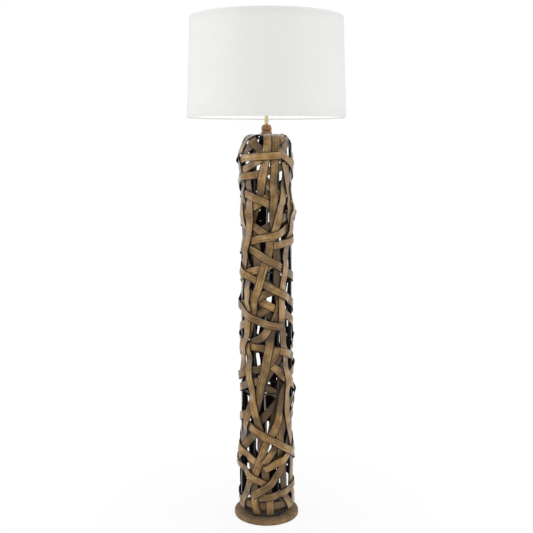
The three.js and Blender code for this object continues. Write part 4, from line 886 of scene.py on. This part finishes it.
def raise_canes(bm, sizes, outer, wall, under):
    """Lifts every cane's middle along the surface; the inner walls keep their place."""
    near = 0.1 * MM
    bm.normal_update()
    lifts = []
    for vert in bm.verts:
        radius = vert.co.xy.length
        inside = radius < wall + near and vert.co.z < under + near
        if inside or radius < BUSHING_HOLE + near:
            continue
        ridge = abs(math.sin(sizes.cane_count * math.atan2(vert.co.y, vert.co.x) / 2))
        lifts.append((vert, vert.normal * sizes.cane_ridge * ridge * min(radius / (0.8 * outer), 1.0)))
    for vert, lift in lifts:
        vert.co += lift


def wound_cane():
    """Canes side by side, streaked and patchy, with painted shade in the crevice where two meet."""
    cane = bpy.context.scene.lamp_colours.cane[:]
    sizes = bpy.context.scene.lamp_sizes
    pitch = 2 * math.pi * (wrap_high.x - sizes.cane_ridge) / sizes.cane_count
    material, tree, shader = new_material("wound_cane", rough=0.5, sheen_weight=0.15, specular_ior_level=0.2)
    vector = uv_vector(tree)
    turn = maths(tree, "MULTIPLY", split(tree, vector)[0], math.pi / pitch)
    wave = maths(tree, "ABSOLUTE", maths(tree, "SINE", turn))
    grain = group_node(tree, "grain", vector, Across=0.8 / pitch, Along=22.0)
    base = mix_colour(tree, remap(tree, grain["Streaks"], 0.36, 0.66), toned(cane, 0.42), cane)
    base = mix_colour(tree, remap(tree, grain["Patches"], 0.5, 0.72, 0.0, 0.6), base, toned(cane, 1.5))
    # Painted shade: dark in the crevice between two canes.
    base = mix_colour(tree, remap(tree, wave, 0.0, 0.45, 0.85, 0.0), base, (0.05, 0.028, 0.013))
    paint(tree, shader, base, grain["Height"], depth=0.2, strength=0.7)
    return material


def collar_profile():
    """Half section of the turned collar: a cylinder, a groove and a dome."""
    radius = collar_high.x
    low = collar_low.z
    tall = collar_high.z - low
    edge = 0.8 * MM
    profile = [(PIPE_BORE, low), (radius - edge, low), (radius, low + edge)]
    groove = ((0.0, 0.4), (0.7, 0.44), (3.4, 0.46), (3.4, 0.51), (1.2, 0.53), (0.6, 0.56))
    profile += [(radius - inset * MM, low + tall * up) for inset, up in groove]
    spring = low + tall * 0.62
    swell = radius * 0.5
    rise = (collar_high.z - spring) / swell
    dome = arc((radius * 0.46, spring), swell, 0.0, 78.0, 8)
    profile += [(x, spring + (z - spring) * rise) for x, z in dome]
    return [*profile, (PIPE_BORE, collar_high.z)]


def sleeve_profile():
    """Half section of the brass sleeve, with a band at both ends."""
    radius = sleeve_high.x
    low = sleeve_low.z
    high = sleeve_high.z
    band = 1.6 * MM
    slope = 2.2 * MM
    waist = radius - 0.7 * MM
    half = [(PIPE_BORE, 0.0), (radius, 0.0), (radius, band), (waist, slope)]
    return [(x, low + up) for x, up in half] + [(x, high - up) for x, up in reversed(half)]


def cap_profile():
    """Half section of the holder's cup, with a rolled bead under its rim."""
    radius = cap_high.x
    low = cap_low.z
    high = cap_high.z
    wall = 1.2 * MM
    floor = low + wall + 1.6 * MM
    mouth = radius - 0.4 * MM
    foot, bowl, spring = 8.2 * MM, 8.0 * MM, 8.8 * MM
    bead, bead_low, bead_middle = 0.6 * MM, 4.0 * MM, 2.4 * MM
    inner_foot, inner_spring = 6.6 * MM, 9.5 * MM
    outside = [(foot, low), *arc((foot, low + spring), bowl, -84.0, -8.0, 7)]
    roll = [(radius, high - bead_low), *arc((radius - bead, high - bead_middle), bead, -80.0, 80.0, 4)]
    inside = [(mouth, high), (mouth - wall, high), (radius - wall - bead, low + inner_spring)]
    return [(PIPE_BORE, low), *outside, *roll, *inside, (inner_foot, floor), (PIPE_BORE, floor)]


def shell_profile():
    """Half section of the holder's shell, with a rolled bead at its foot and one under its rim."""
    low = shell_low.z
    high = shell_high.z
    bore = shell_high.x - 1.2 * MM
    body = shell_high.x - 0.5 * MM
    middle = body - 0.3 * MM
    bead, foot, rim = 0.8 * MM, 3.0 * MM, 5.0 * MM
    beads = arc((middle, low + foot), bead, -75.0, 75.0, 5) + arc((middle, high - rim), bead, -75.0, 75.0, 5)
    return [(body, low), *beads, (body, high), (bore, high), (bore, low)]


def fluted_knob():
    """The switch knob on its stem, fluted all round, turned about the front-to-back axis."""
    middle = (knob_low.z + knob_high.z) / 2
    radius = (knob_high.z - knob_low.z) / 2
    reach = knob_high.y - knob_low.y
    stem = 2.5 * MM
    head = reach - 14.0 * MM
    collar, crown, lip, near = 1.0 * MM, 1.6 * MM, 0.3 * MM, 0.2 * MM
    flutes = 20
    profile = [
        (0.0, 0.0),
        (stem, 0.0),
        (stem, head),
        (radius * 0.9, head),
        (radius, head + collar),
        (radius * 0.93, reach - crown),
        (radius * 0.8, reach - lip),
        (radius * 0.4, reach),
        (0.0, reach),
    ]
    bm = lathe(profile, flutes * 4, closed=False)
    for vert in bm.verts:
        if vert.co.xy.length > stem * 1.5 and vert.co.z < reach - near:
            turn = math.atan2(vert.co.y, vert.co.x)
            vert.co.xy *= 1 - 0.07 * (0.5 + 0.5 * math.cos(flutes * turn))
    place = Matrix.Translation((0.0, knob_high.y, middle)) @ Matrix.Rotation(math.radians(90.0), 4, "X")
    bmesh.ops.transform(bm, matrix=place, verts=bm.verts)
    bmesh.ops.recalc_face_normals(bm, faces=bm.faces)
    soften(bm)
    return bm


def bulb_glass():
    """The bulb's glass: a neck that swells into a round head."""
    rim = shell_high.z
    tall = bulb_high.z - rim
    wide = bulb_high.x
    neck = ((0.0, 0.42), (0.06, 0.43), (0.14, 0.5), (0.25, 0.63), (0.36, 0.78), (0.48, 0.92), (0.58, 0.985))
    points = [Vector((wide * across, rim + tall * up, 0.0)) for up, across in neck]
    for across, up in arc((0.0, 0.0), 1.0, 0.0, 90.0, 7)[1:]:
        points.append(Vector((wide * across, rim + tall * (0.66 + 0.34 * up), 0.0)))
    run = smooth_run(points, [3] * (len(points) - 1))
    profile = [(0.0, rim), *((max(p.x, 0.0), p.y) for p in run[:-1]), (0.0, bulb_high.z)]
    return lathe(profile, 48, closed=False)


def bulb_cap():
    """The bulb's threaded cap with its stepped tip."""
    low = bulb_low.z
    cap = 13.3 * MM
    tip = ((0.0, 0.0), (3.0, 0.0), (5.0, 2.0))
    shoulder, shoulder_up = 1.0 * MM, 4.0 * MM
    root, crest, thread_up = 0.4 * MM, 0.35 * MM, 5.0 * MM
    end, top = 0.6 * MM, shell_high.z - 0.2 * MM
    thread_tall = shell_high.z - low - 6.0 * MM
    steps = 6 * 4
    profile = [(across * MM, low + up * MM) for across, up in tip]
    profile.append((cap - shoulder, low + shoulder_up))
    for k in range(steps):
        bulge = crest * math.sin(k * math.pi / 2)
        profile.append((cap - root + bulge, low + thread_up + thread_tall * k / steps))
    return lathe([*profile, (cap - end, top), (0.0, top)], 40, closed=False)


def harp_shape():
    """The harp: a bow of round wire, its two ferrules and the stud at its top."""
    wire = bpy.context.scene.lamp_sizes.harp_wire
    foot_x = saddle_high.x + wire + SEAT_GAP
    foot = harp_low.z + wire * 0.2
    top = WASHER_LOW - SEAT_GAP - wire
    wide = harp_high.x - wire
    shares = ((1.0, 0.06), (1.0, 0.16), (1.35, 0.3), (1.95, 0.5), (2.0, 0.66), (1.75, 0.82))
    shares += ((1.1, 0.94), (0.4, 0.99))
    half = [Vector((foot_x, 0.0, foot))]
    for across, up in shares:
        x = foot_x * across if across < 1 else foot_x + (wide - foot_x) * (across - 1)
        half.append(Vector((x, 0.0, foot + (top - foot) * up)))
    other = [Vector((-p.x, 0.0, p.z)) for p in reversed(half)]
    points = [*half, Vector((0.0, 0.0, top)), *other]
    parts = [tube("bow", [smooth_run(points, [8] * (len(points) - 1))], wire)]
    ferrule_wall, ferrule_tall, stud = 0.28 * MM, 9.0 * MM, 2.55 * MM
    for side in (-1, 1):
        ends = [Vector((side * foot_x, 0.0, z)) for z in (harp_low.z, foot + ferrule_tall)]
        parts.append(tube("ferrule", [ends], wire + ferrule_wall, sides=16))
    parts.append(tube("stud", [[Vector((0.0, 0.0, z)) for z in (top, harp_high.z)]], stud, sides=16))
    return merged(parts)


def saddle_shape():
    """The harp's saddle: a flat strap with turned-up ears."""
    thick = 2.5 * MM
    bend = 2.0 * MM
    reach = saddle_high.x - thick / 2
    low = saddle_low.z + thick / 2
    path = [(-reach, saddle_high.z), (-reach, low + bend)]
    path += arc((bend - reach, low + bend), bend, 180.0, 270.0, 4)[1:]
    path += [(-x, z) for x, z in reversed(path)]
    bm = bmesh.new()
    bmesh.ops.create_grid(bm, x_segments=len(path) - 1, y_segments=2, size=1.0)
    for vert in bm.verts:
        x, z = path[round((vert.co.x + 1) / 2 * (len(path) - 1))]
        vert.co = (x, vert.co.y * (saddle_high.y - saddle_low.y) / 2, z)
    bmesh.ops.recalc_face_normals(bm, faces=bm.faces)
    bmesh.ops.solidify(bm, geom=bm.faces[:], thickness=thick)
    shift = saddle_low.z - min(v.co.z for v in bm.verts)
    bmesh.ops.translate(bm, verts=bm.verts, vec=(0.0, 0.0, shift))
    bmesh.ops.recalc_face_normals(bm, faces=bm.faces)
    round_edges(bm, EDGE)
    soften(bm)
    return bm


def finial_profile():
    """Half section of the finial: a foot, a waist and a ball with a point."""
    radius = finial_high.x
    low = finial_low.z
    tall = finial_high.z - low
    foot = ((0.8, 0.0), (0.82, 0.05), (0.78, 0.1), (0.5, 0.15), (0.42, 0.22), (0.5, 0.3), (0.8, 0.38))
    ball = ((0.97, 0.48), (1.0, 0.56), (0.96, 0.66), (0.84, 0.76), (0.64, 0.85), (0.4, 0.91))
    point = ((0.24, 0.95), (0.14, 0.985), (0.0, 1.0))
    points = [(radius * across, low + tall * up) for across, up in foot + ball + point]
    bore_top, drill_tip = 12.0 * MM, 12.5 * MM
    return [(STUD_BORE, low), *points, (0.0, low + drill_tip), (STUD_BORE, low + bore_top)]


# Cage, shade and lead


def cage_shape():
    """The welded iron cage: six rods that bend over the shoulder, four rings and the hub."""
    radius, top = CAGE_TOP
    arm = SHOULDER - CAGE_SETBACK
    rings = [CAGE_FOOT, lean(0.34), lean(0.67), CAGE_TOP]
    route = [(CAGE_FOOT[0], cage_low.z), *rings[:3], (radius, top - CAGE_ROD)]
    route += arc((radius - arm, top), arm, 0.0, 90.0, 8)
    route.append((HUB_RADIUS - CAGE_ROD, top + arm))
    lines = []
    for k in range(6):
        turn = math.radians(90.0 + 60.0 * k)
        lines.append([round_axis(out, turn, height) for out, height in route])
    parts = [tube("rods", lines, CAGE_ROD)]
    parts += [wire_ring(out, height, CAGE_ROD) for out, height in rings]
    hub_tall, hub_edge = 6.0 * MM, 0.6 * MM
    bm = merged([*parts, washer(PIPE_BORE, HUB_RADIUS, lead_high.z, hub_tall, hub_edge)])
    soften(bm)
    return bm


def lean(up):
    """Radius and height of the cage a share of the way up from its foot ring to its top ring."""
    return tuple(low + (high - low) * up for low, high in zip(CAGE_FOOT, CAGE_TOP))


def shade_cover():
    """The shade's wall with its rolled hems and the lapped seam at its back; linen outside, lining inside."""
    sizes = bpy.context.scene.lamp_sizes
    low = fabric_low.z
    high = fabric_high.z
    tall = high - low
    rise = sizes.hem_rise
    wall = sizes.fabric_thickness
    hem = sizes.hem_width

    def out(height, off):
        return fabric_high.x - SHADE_FLARE * (height - low) / tall - rise - off

    lip, roll, crease = 0.3 * MM, 0.8 * MM, 0.4 * MM
    fold = ((0.0, roll, 0.7), (hem * 0.5, hem * 0.5, 1.0), (hem, hem - crease, 0.8), (hem, hem, 0.0))
    outside = [(out(low, 0.0), low + lip)]
    outside += [(out(low + at, -rise * proud), low + up) for at, up, proud in fold]
    outside += [(out(low + tall * k / 8, 0.0), low + tall * k / 8) for k in range(1, 8)]
    outside += [(out(high - at, -rise * proud), high - up) for at, up, proud in reversed(fold)]
    inside = [(out(high, lip), high), (out(high, wall), high - lip)]
    inside += [(out(height, wall), height) for height in (high - hem, low + hem)]
    inside += [(out(low, wall), low + lip), (out(low, wall * 0.5), low)]
    bm = lathe(outside + inside, SHADE_STEPS)
    for face in bm.faces:
        place = face.calc_center_median()
        face.material_index = int(place.xy.length < out(place.z, wall * 0.5))
    bm = merged([bm, seam_strip(out, low + hem, high - hem)])
    wrap_map(bm, fabric_high.x)
    soften(bm, 60.0)
    return bm


def seam_strip(out, low, high):
    """The lapped seam at the back: a thin band on the outside of the wall."""
    half_width, proud, thick = 7.0 * MM, 0.35 * MM, 0.6 * MM
    half = math.asin(half_width / fabric_high.x)
    bm = bmesh.new()
    bmesh.ops.create_grid(bm, x_segments=8, y_segments=2, size=1.0)
    for vert in bm.verts:
        height = low + (high - low) * (vert.co.y + 1) / 2
        vert.co = round_axis(out(height, -proud), math.pi + vert.co.x * half, height)
    bmesh.ops.recalc_face_normals(bm, faces=bm.faces)
    first = next(iter(bm.faces))
    if first.normal.dot(first.calc_center_median().to_2d().to_3d()) < 0:
        bmesh.ops.reverse_faces(bm, faces=bm.faces)
    bmesh.ops.solidify(bm, geom=bm.faces[:], thickness=thick)
    bmesh.ops.recalc_face_normals(bm, faces=bm.faces)
    return bm


def spider_shape():
    """The upper ring with its three spokes and the washer over the harp."""
    spoke, drop, disc, disc_edge = 1.6 * MM, 8.0 * MM, 13.0 * MM, 0.8 * MM
    radius = spider_high.x - RING_WIRE
    top = spider_high.z - RING_WIRE
    seat = WASHER_LOW + WASHER_HALF
    route = [(radius, top), (radius * 0.955, top - drop), (radius * 0.82, seat), (disc - 2 * spoke, seat)]
    lines = []
    for k in range(3):
        turn = math.radians(90.0 + 120.0 * k)
        lines.append(smooth_run([round_axis(out, turn, height) for out, height in route], [6, 10, 8]))
    ring = wire_ring(RING_RADIUS, top, RING_WIRE, steps=SHADE_STEPS)
    middle = washer(STUD_BORE, disc, WASHER_LOW, 2 * WASHER_HALF, disc_edge)
    bm = merged([tube("spokes", lines, spoke), ring, middle])
    soften(bm)
    return bm


def lead_route():
    """The lamp lead's points from the hub down to the bushing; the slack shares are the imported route's."""
    low = lead_low.z
    shares = (
        (0.0, 0.0, 0.985),
        (0.14, 0.0, 0.942),
        (0.0, -0.29, 0.883),
        (0.43, 0.0, 0.82),
        (0.0, 0.29, 0.753),
        (0.43, 0.0, 0.69),
        (1.0, 0.0, 0.661),
        (0.0, -0.29, 0.627),
        (-0.43, 0.0, 0.573),
        (0.0, 0.29, 0.498),
        (-0.57, -0.29, 0.431),
        (-0.86, 0.0, 0.352),
        (-0.43, 0.29, 0.273),
        (0.14, 0.0, 0.189),
        (0.29, -0.29, 0.106),
        (0.0, 0.0, 0.044),
    )
    points = [Vector((0.0, 0.0, lead_high.z))]
    for side, forward, up in shares:
        points.append(Vector((side * LEAD_SLACK, forward * LEAD_SLACK, low + (pipe_low.z - low) * up)))
    points.append(Vector((0.0, 0.0, low)))
    return points


def clear_lead():
    """The pale lead's vinyl: a little glossy, with the twist of its wires showing."""
    material, tree, shader = new_material("clear_vinyl", rough=0.28, coat_weight=0.3, coat_roughness=0.15)
    vector = object_vector(tree)
    lay = 14.0 * MM
    twist = maths(tree, "SINE", maths(tree, "MULTIPLY", split(tree, vector)[2], 2 * math.pi / lay))
    uneven = remap(tree, noise(tree, vector, 220.0), 0.4, 0.7, 0.0, 0.3)
    mixed = mix_colour(tree, remap(tree, twist, -1.0, 1.0), (0.72, 0.7, 0.64), (0.58, 0.55, 0.47))
    base = mix_colour(tree, uneven, mixed, (0.5, 0.46, 0.38))
    paint(tree, shader, base, twist, depth=0.1, strength=0.4)
    return material


# Operators


class LAMP_OT_camera(bpy.types.Operator):
    """Places the camera at the photograph's viewpoint"""

    bl_idname = "lamp.camera"
    bl_label = "Camera"

    def execute(self, context):
        sizes = context.scene.lamp_sizes
        data = bpy.data.cameras.new("camera")
        camera = placed("camera", data)
        data.lens = sizes.lens
        data.sensor_width = SENSOR_WIDTH
        data.shift_y = sizes.camera_shift
        data.clip_end = CLIP_END
        camera.location = (0.0, -sizes.camera_distance, sizes.camera_height)
        camera.rotation_euler = (math.radians(90.0 - sizes.camera_pitch), 0.0, 0.0)
        context.scene.camera = camera
        return {"FINISHED"}


class LAMP_OT_lead(bpy.types.Operator):
    """Hangs the pale lamp lead inside the column"""

    bl_idname = "lamp.lead"
    bl_label = "Lamp lead"

    def execute(self, context):
        sizes = context.scene.lamp_sizes
        points = lead_route()
        route = smooth_run(points, [5] * (len(points) - 1))
        curve = wire_curve("lead", [route], sizes.lead_radius, sides=10)
        curve.materials.append(clear_lead())
        piece = placed("lead", curve)
        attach(piece, STAND)
        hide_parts("lamp_lead")
        return {"FINISHED"}


class LAMP_OT_nodes(bpy.types.Operator):
    """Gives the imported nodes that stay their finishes"""

    bl_idname = "lamp.nodes"
    bl_label = "Packed nodes"

    def execute(self, context):
        dress_nodes()
        return {"FINISHED"}


class LAMP_OT_strips(bpy.types.Operator):
    """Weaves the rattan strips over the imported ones"""

    bl_idname = "lamp.strips"
    bl_label = "Rattan strips"

    def execute(self, context):
        step = context.scene.lamp_sizes.strip_step
        colours = context.scene.lamp_colours
        fronts = [rattan(f"rattan_{k + 1}", tone) for k, tone in enumerate(STRIP_TONES)]
        # Near-black back: painted shade for the column's dark inside.
        back = plain_grain("strip_back", colours.strip_back[:], 1.8, 0.8, 0.2, 0.12)
        # Dark rim faces: partly the strips' dark cut edges, partly painted shade.
        edge = plain_grain("strip_edge", colours.strip_edge[:], 0.6, 0.7, 0.1, 0.15)
        for index, name in enumerate(STRIPS):
            rails = strip_rails(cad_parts[name], step)
            finishes = [fronts[index % len(fronts)], back, edge]
            lay_strip(name.replace("rattan_", ""), rails, index * STRIP_SHIFT, finishes, [name])
        for index, (ends, layer) in enumerate(zip(INNER_ENDS, inner_layers())):
            rails = inner_rails(ends, layer, step)
            finishes = [fronts[index % len(fronts)], back, edge]
            shift = INNER_START + index * INNER_SHIFT
            lay_strip(f"inner_strip_{index + 1:02d}", rails, shift, finishes)
        return {"FINISHED"}


class LAMP_OT_base(bpy.types.Operator):
    """Winds the canes over the base disc"""

    bl_idname = "lamp.base"
    bl_label = "Cane base"

    def execute(self, context):
        finish_piece(wrapped_base(), "base_canes", STAND, ["base_cane_wrap"], [wound_cane()])
        return {"FINISHED"}


class LAMP_OT_cage(bpy.types.Operator):
    """Bends the iron cage that carries the weave"""

    bl_idname = "lamp.cage"
    bl_label = "Iron cage"

    def execute(self, context):
        iron = speckled("cage_iron", (0.012, 0.010, 0.009), (0.03, 0.024, 0.02), 0.5, metal=0.3, depth=0.2)
        finish_piece(cage_shape(), "cage", STAND, ["iron_cage"], [iron])
        return {"FINISHED"}


class LAMP_OT_neck(bpy.types.Operator):
    """Turns the wooden collar and the brass sleeve"""

    bl_idname = "lamp.neck"
    bl_label = "Neck"

    def execute(self, context):
        brass = brass_finish("neck_brass", 0.3)
        turned_piece("collar", collar_profile(), STAND, ["neck_collar"], turned_wood())
        turned_piece("sleeve", sleeve_profile(), STAND, ["neck_sleeve"], brass, edge=FINE_EDGE)
        return {"FINISHED"}


class LAMP_OT_holder(bpy.types.Operator):
    """Builds the lamp holder, its saddle and its switch knob"""

    bl_idname = "lamp.holder"
    bl_label = "Lamp holder"

    def execute(self, context):
        brass = brass_finish("holder_brass", 0.24)
        turned_piece("cup", cap_profile(), STAND, ["holder_cap"], brass, edge=FINE_EDGE)
        turned_piece("socket_shell", shell_profile(), STAND, ["holder_shell"], brass, edge=FINE_EDGE)
        finish_piece(saddle_shape(), "saddle", STAND, ["harp_saddle"], [brass])
        black = speckled("knob_black", (0.014, 0.013, 0.012), (0.024, 0.022, 0.02), 0.35, depth=0.03)
        finish_piece(fluted_knob(), "knob", "knob", ["switch_knob"], [black])
        return {"FINISHED"}


class LAMP_OT_bulb(bpy.types.Operator):
    """Blows the opal bulb and threads its cap"""

    bl_idname = "lamp.bulb"
    bl_label = "Bulb"

    def execute(self, context):
        glass = bulb_glass()
        cap = bulb_cap()
        soften(glass, 60.0)
        soften(cap, 50.0)
        white, grey = (0.86, 0.86, 0.83), (0.82, 0.82, 0.79)
        opal = speckled("opal_glass", white, grey, 0.14, depth=0.01, coat_weight=0.4)
        nickel = speckled("cap_metal", (0.66, 0.64, 0.6), (0.56, 0.54, 0.5), 0.3, metal=1.0, depth=0.02)
        finish_piece(glass, "bulb_glass", "bulb", ["bulb"], [opal])
        finish_piece(cap, "bulb_cap", "bulb", ["bulb"], [nickel])
        return {"FINISHED"}


class LAMP_OT_harp(bpy.types.Operator):
    """Bends the harp and turns the finial"""

    bl_idname = "lamp.harp"
    bl_label = "Harp and finial"

    def execute(self, context):
        brass = brass_finish("harp_brass", 0.26)
        harp = harp_shape()
        soften(harp)
        finish_piece(harp, "bow", STAND, ["harp"], [brass])
        ball = finial_profile()
        turned_piece("finial_ball", ball, "finial", ["finial"], brass, steps=48, edge=0.0)
        return {"FINISHED"}


class LAMP_OT_shade(bpy.types.Operator):
    """Stretches the linen shade over its two rings"""

    bl_idname = "lamp.shade"
    bl_label = "Shade"

    def execute(self, context):
        # The lining glows faintly: painted light standing for daylight through the cloth.
        lining = speckled(
            "shade_lining",
            (0.86, 0.86, 0.85),
            (0.84, 0.84, 0.83),
            0.75,
            scale=60.0,
            depth=0.02,
            emission_strength=0.36,
        )
        steel = speckled("white_wire", (0.82, 0.82, 0.8), (0.74, 0.74, 0.72), 0.4, depth=0.03)
        finishes = [linen(), lining]
        wall = finish_piece(shade_cover(), "cover", SHADE_BODY, ["shade_fabric"], finishes)
        middle = (ring_low.z + ring_high.z) / 2
        ring = wire_ring(ring_high.x - RING_WIRE, middle, RING_WIRE, steps=SHADE_STEPS)
        soften(ring)
        lower = finish_piece(ring, "lower_ring", SHADE_BODY, ["shade_lower_ring"], [steel])
        upper = finish_piece(spider_shape(), "spider", SHADE_BODY, ["shade_spider"], [steel])
        return {"FINISHED"}


def brass_finish(name, rough):
    """Pale lacquered brass with faint bands of tarnish."""
    brass = bpy.context.scene.lamp_colours.brass[:]
    return speckled(name, brass, toned(brass, 0.82), rough, metal=1.0, scale=180.0, depth=0.02, spread=0.07)


# Stage


def area_light(name, place, target, across, tall, power):
    """A soft rectangular light turned towards a point."""
    data = bpy.data.lights.new(name, "AREA")
    data.shape = "RECTANGLE"
    data.size = across
    data.size_y = tall
    data.energy = power
    light = placed(name, data)
    light.location = place
    light.rotation_euler = (Vector(target) - Vector(place)).to_track_quat("-Z", "Y").to_euler()


def seen_directly(tree):
    """Full for what the camera, gloss and glass see."""
    path = tree.nodes.new("ShaderNodeLightPath")
    seen = maths(tree, "MAXIMUM", path.outputs["Is Camera Ray"], path.outputs["Is Glossy Ray"])
    return maths(tree, "MAXIMUM", seen, path.outputs["Is Transmission Ray"])


def mix_white(tree, kind, share, shader):
    """A shader mixed with a share of plain white, which a node of the given kind makes."""
    white = tree.nodes.new(kind)
    white.inputs["Color"].default_value = (1.0, 1.0, 1.0, 1.0)
    white.inputs["Strength"].default_value = 1.0
    mixed = tree.nodes.new("ShaderNodeMixShader")
    for place, value in enumerate((share, shader, white.outputs[0])):
        feed(tree, mixed.inputs[place], value)
    return mixed.outputs[0]


def floor_finish():
    """Pale matt floor that keeps the lamp's soft shadow and turns plain white further off."""
    material, tree, shader = new_material("floor", base=(0.9, 0.9, 0.9), rough=0.9)
    spread = tree.nodes.new("ShaderNodeVectorMath")
    spread.operation = "LENGTH"
    feed(tree, spread.inputs[0], object_vector(tree))
    near, far = 0.12, 0.6
    cover = remap(tree, spread.outputs["Value"], near, far, 0.88, 1.0)
    share = maths(tree, "MULTIPLY", seen_directly(tree), cover)
    surface = mix_white(tree, "ShaderNodeEmission", share, shader.outputs[0])
    feed(tree, tree.nodes["Material Output"].inputs["Surface"], surface)
    return material


def pale_world(front, back):
    """A pale surround, brighter in front than behind, that the camera, gloss and glass see as white."""
    world = bpy.data.worlds.new("surround")
    world.use_nodes = True
    tree = world.node_tree
    sky = tree.nodes["Background"]
    sky.inputs["Color"].default_value = (1.0, 1.0, 1.0, 1.0)
    depth = split(tree, tree.nodes.new("ShaderNodeTexCoord").outputs["Generated"])[1]
    feed(tree, sky.inputs["Strength"], remap(tree, depth, -1.0, 1.0, front, back))
    surface = mix_white(tree, "ShaderNodeBackground", seen_directly(tree), sky.outputs[0])
    feed(tree, tree.nodes["World Output"].inputs["Surface"], surface)
    bpy.context.scene.world = world


class LAMP_OT_stage(bpy.types.Operator):
    """Lays the pale floor and sets the soft lights"""

    bl_idname = "lamp.stage"
    bl_label = "Stage"

    def execute(self, context):
        context.scene.view_settings.view_transform = "Standard"
        bm = bmesh.new()
        bmesh.ops.create_grid(bm, x_segments=2, y_segments=2, size=FLOOR_SIZE)
        mesh = bpy.data.meshes.new("floor")
        bm.to_mesh(mesh)
        bm.free()
        mesh.materials.append(floor_finish())
        placed("floor", mesh)
        pale_world(SURROUND_FRONT, SURROUND_BACK)
        for light in LIGHTS:
            area_light(*light)
        return {"FINISHED"}


class LAMP_PT_panel(bpy.types.Panel):
    """Steps that build the lamp"""

    bl_label = "Rattan floor lamp"
    bl_idname = "LAMP_PT_panel"
    bl_space_type = "VIEW_3D"
    bl_region_type = "UI"
    bl_category = "Lamp"

    def draw(self, context):
        for step in STEPS:
            self.layout.operator(step.bl_idname)


STEPS = (
    LAMP_OT_camera,
    LAMP_OT_lead,
    LAMP_OT_nodes,
    LAMP_OT_strips,
    LAMP_OT_base,
    LAMP_OT_cage,
    LAMP_OT_neck,
    LAMP_OT_holder,
    LAMP_OT_bulb,
    LAMP_OT_harp,
    LAMP_OT_shade,
    LAMP_OT_stage,
)
CLASSES = (LampSizes, LampColours, *STEPS, LAMP_PT_panel)


def register():
    """Adds the classes and their settings."""
    for cls in CLASSES:
        bpy.utils.register_class(cls)
    bpy.types.Scene.lamp_sizes = PointerProperty(type=LampSizes)
    bpy.types.Scene.lamp_colours = PointerProperty(type=LampColours)


def unregister():
    """Takes the classes and their settings away."""
    del bpy.types.Scene.lamp_colours
    del bpy.types.Scene.lamp_sizes
    for cls in reversed(CLASSES):
        bpy.utils.unregister_class(cls)


def main():
    """Builds the whole lamp, one operator after another."""
    register()
    bpy.ops.lamp.camera()
    bpy.ops.lamp.lead()
    bpy.ops.lamp.nodes()
    bpy.ops.lamp.strips()
    bpy.ops.lamp.base()
    bpy.ops.lamp.cage()
    bpy.ops.lamp.neck()
    bpy.ops.lamp.holder()
    bpy.ops.lamp.bulb()
    bpy.ops.lamp.harp()
    bpy.ops.lamp.shade()
    bpy.ops.lamp.stage()


if __name__ == "__main__":
    main()
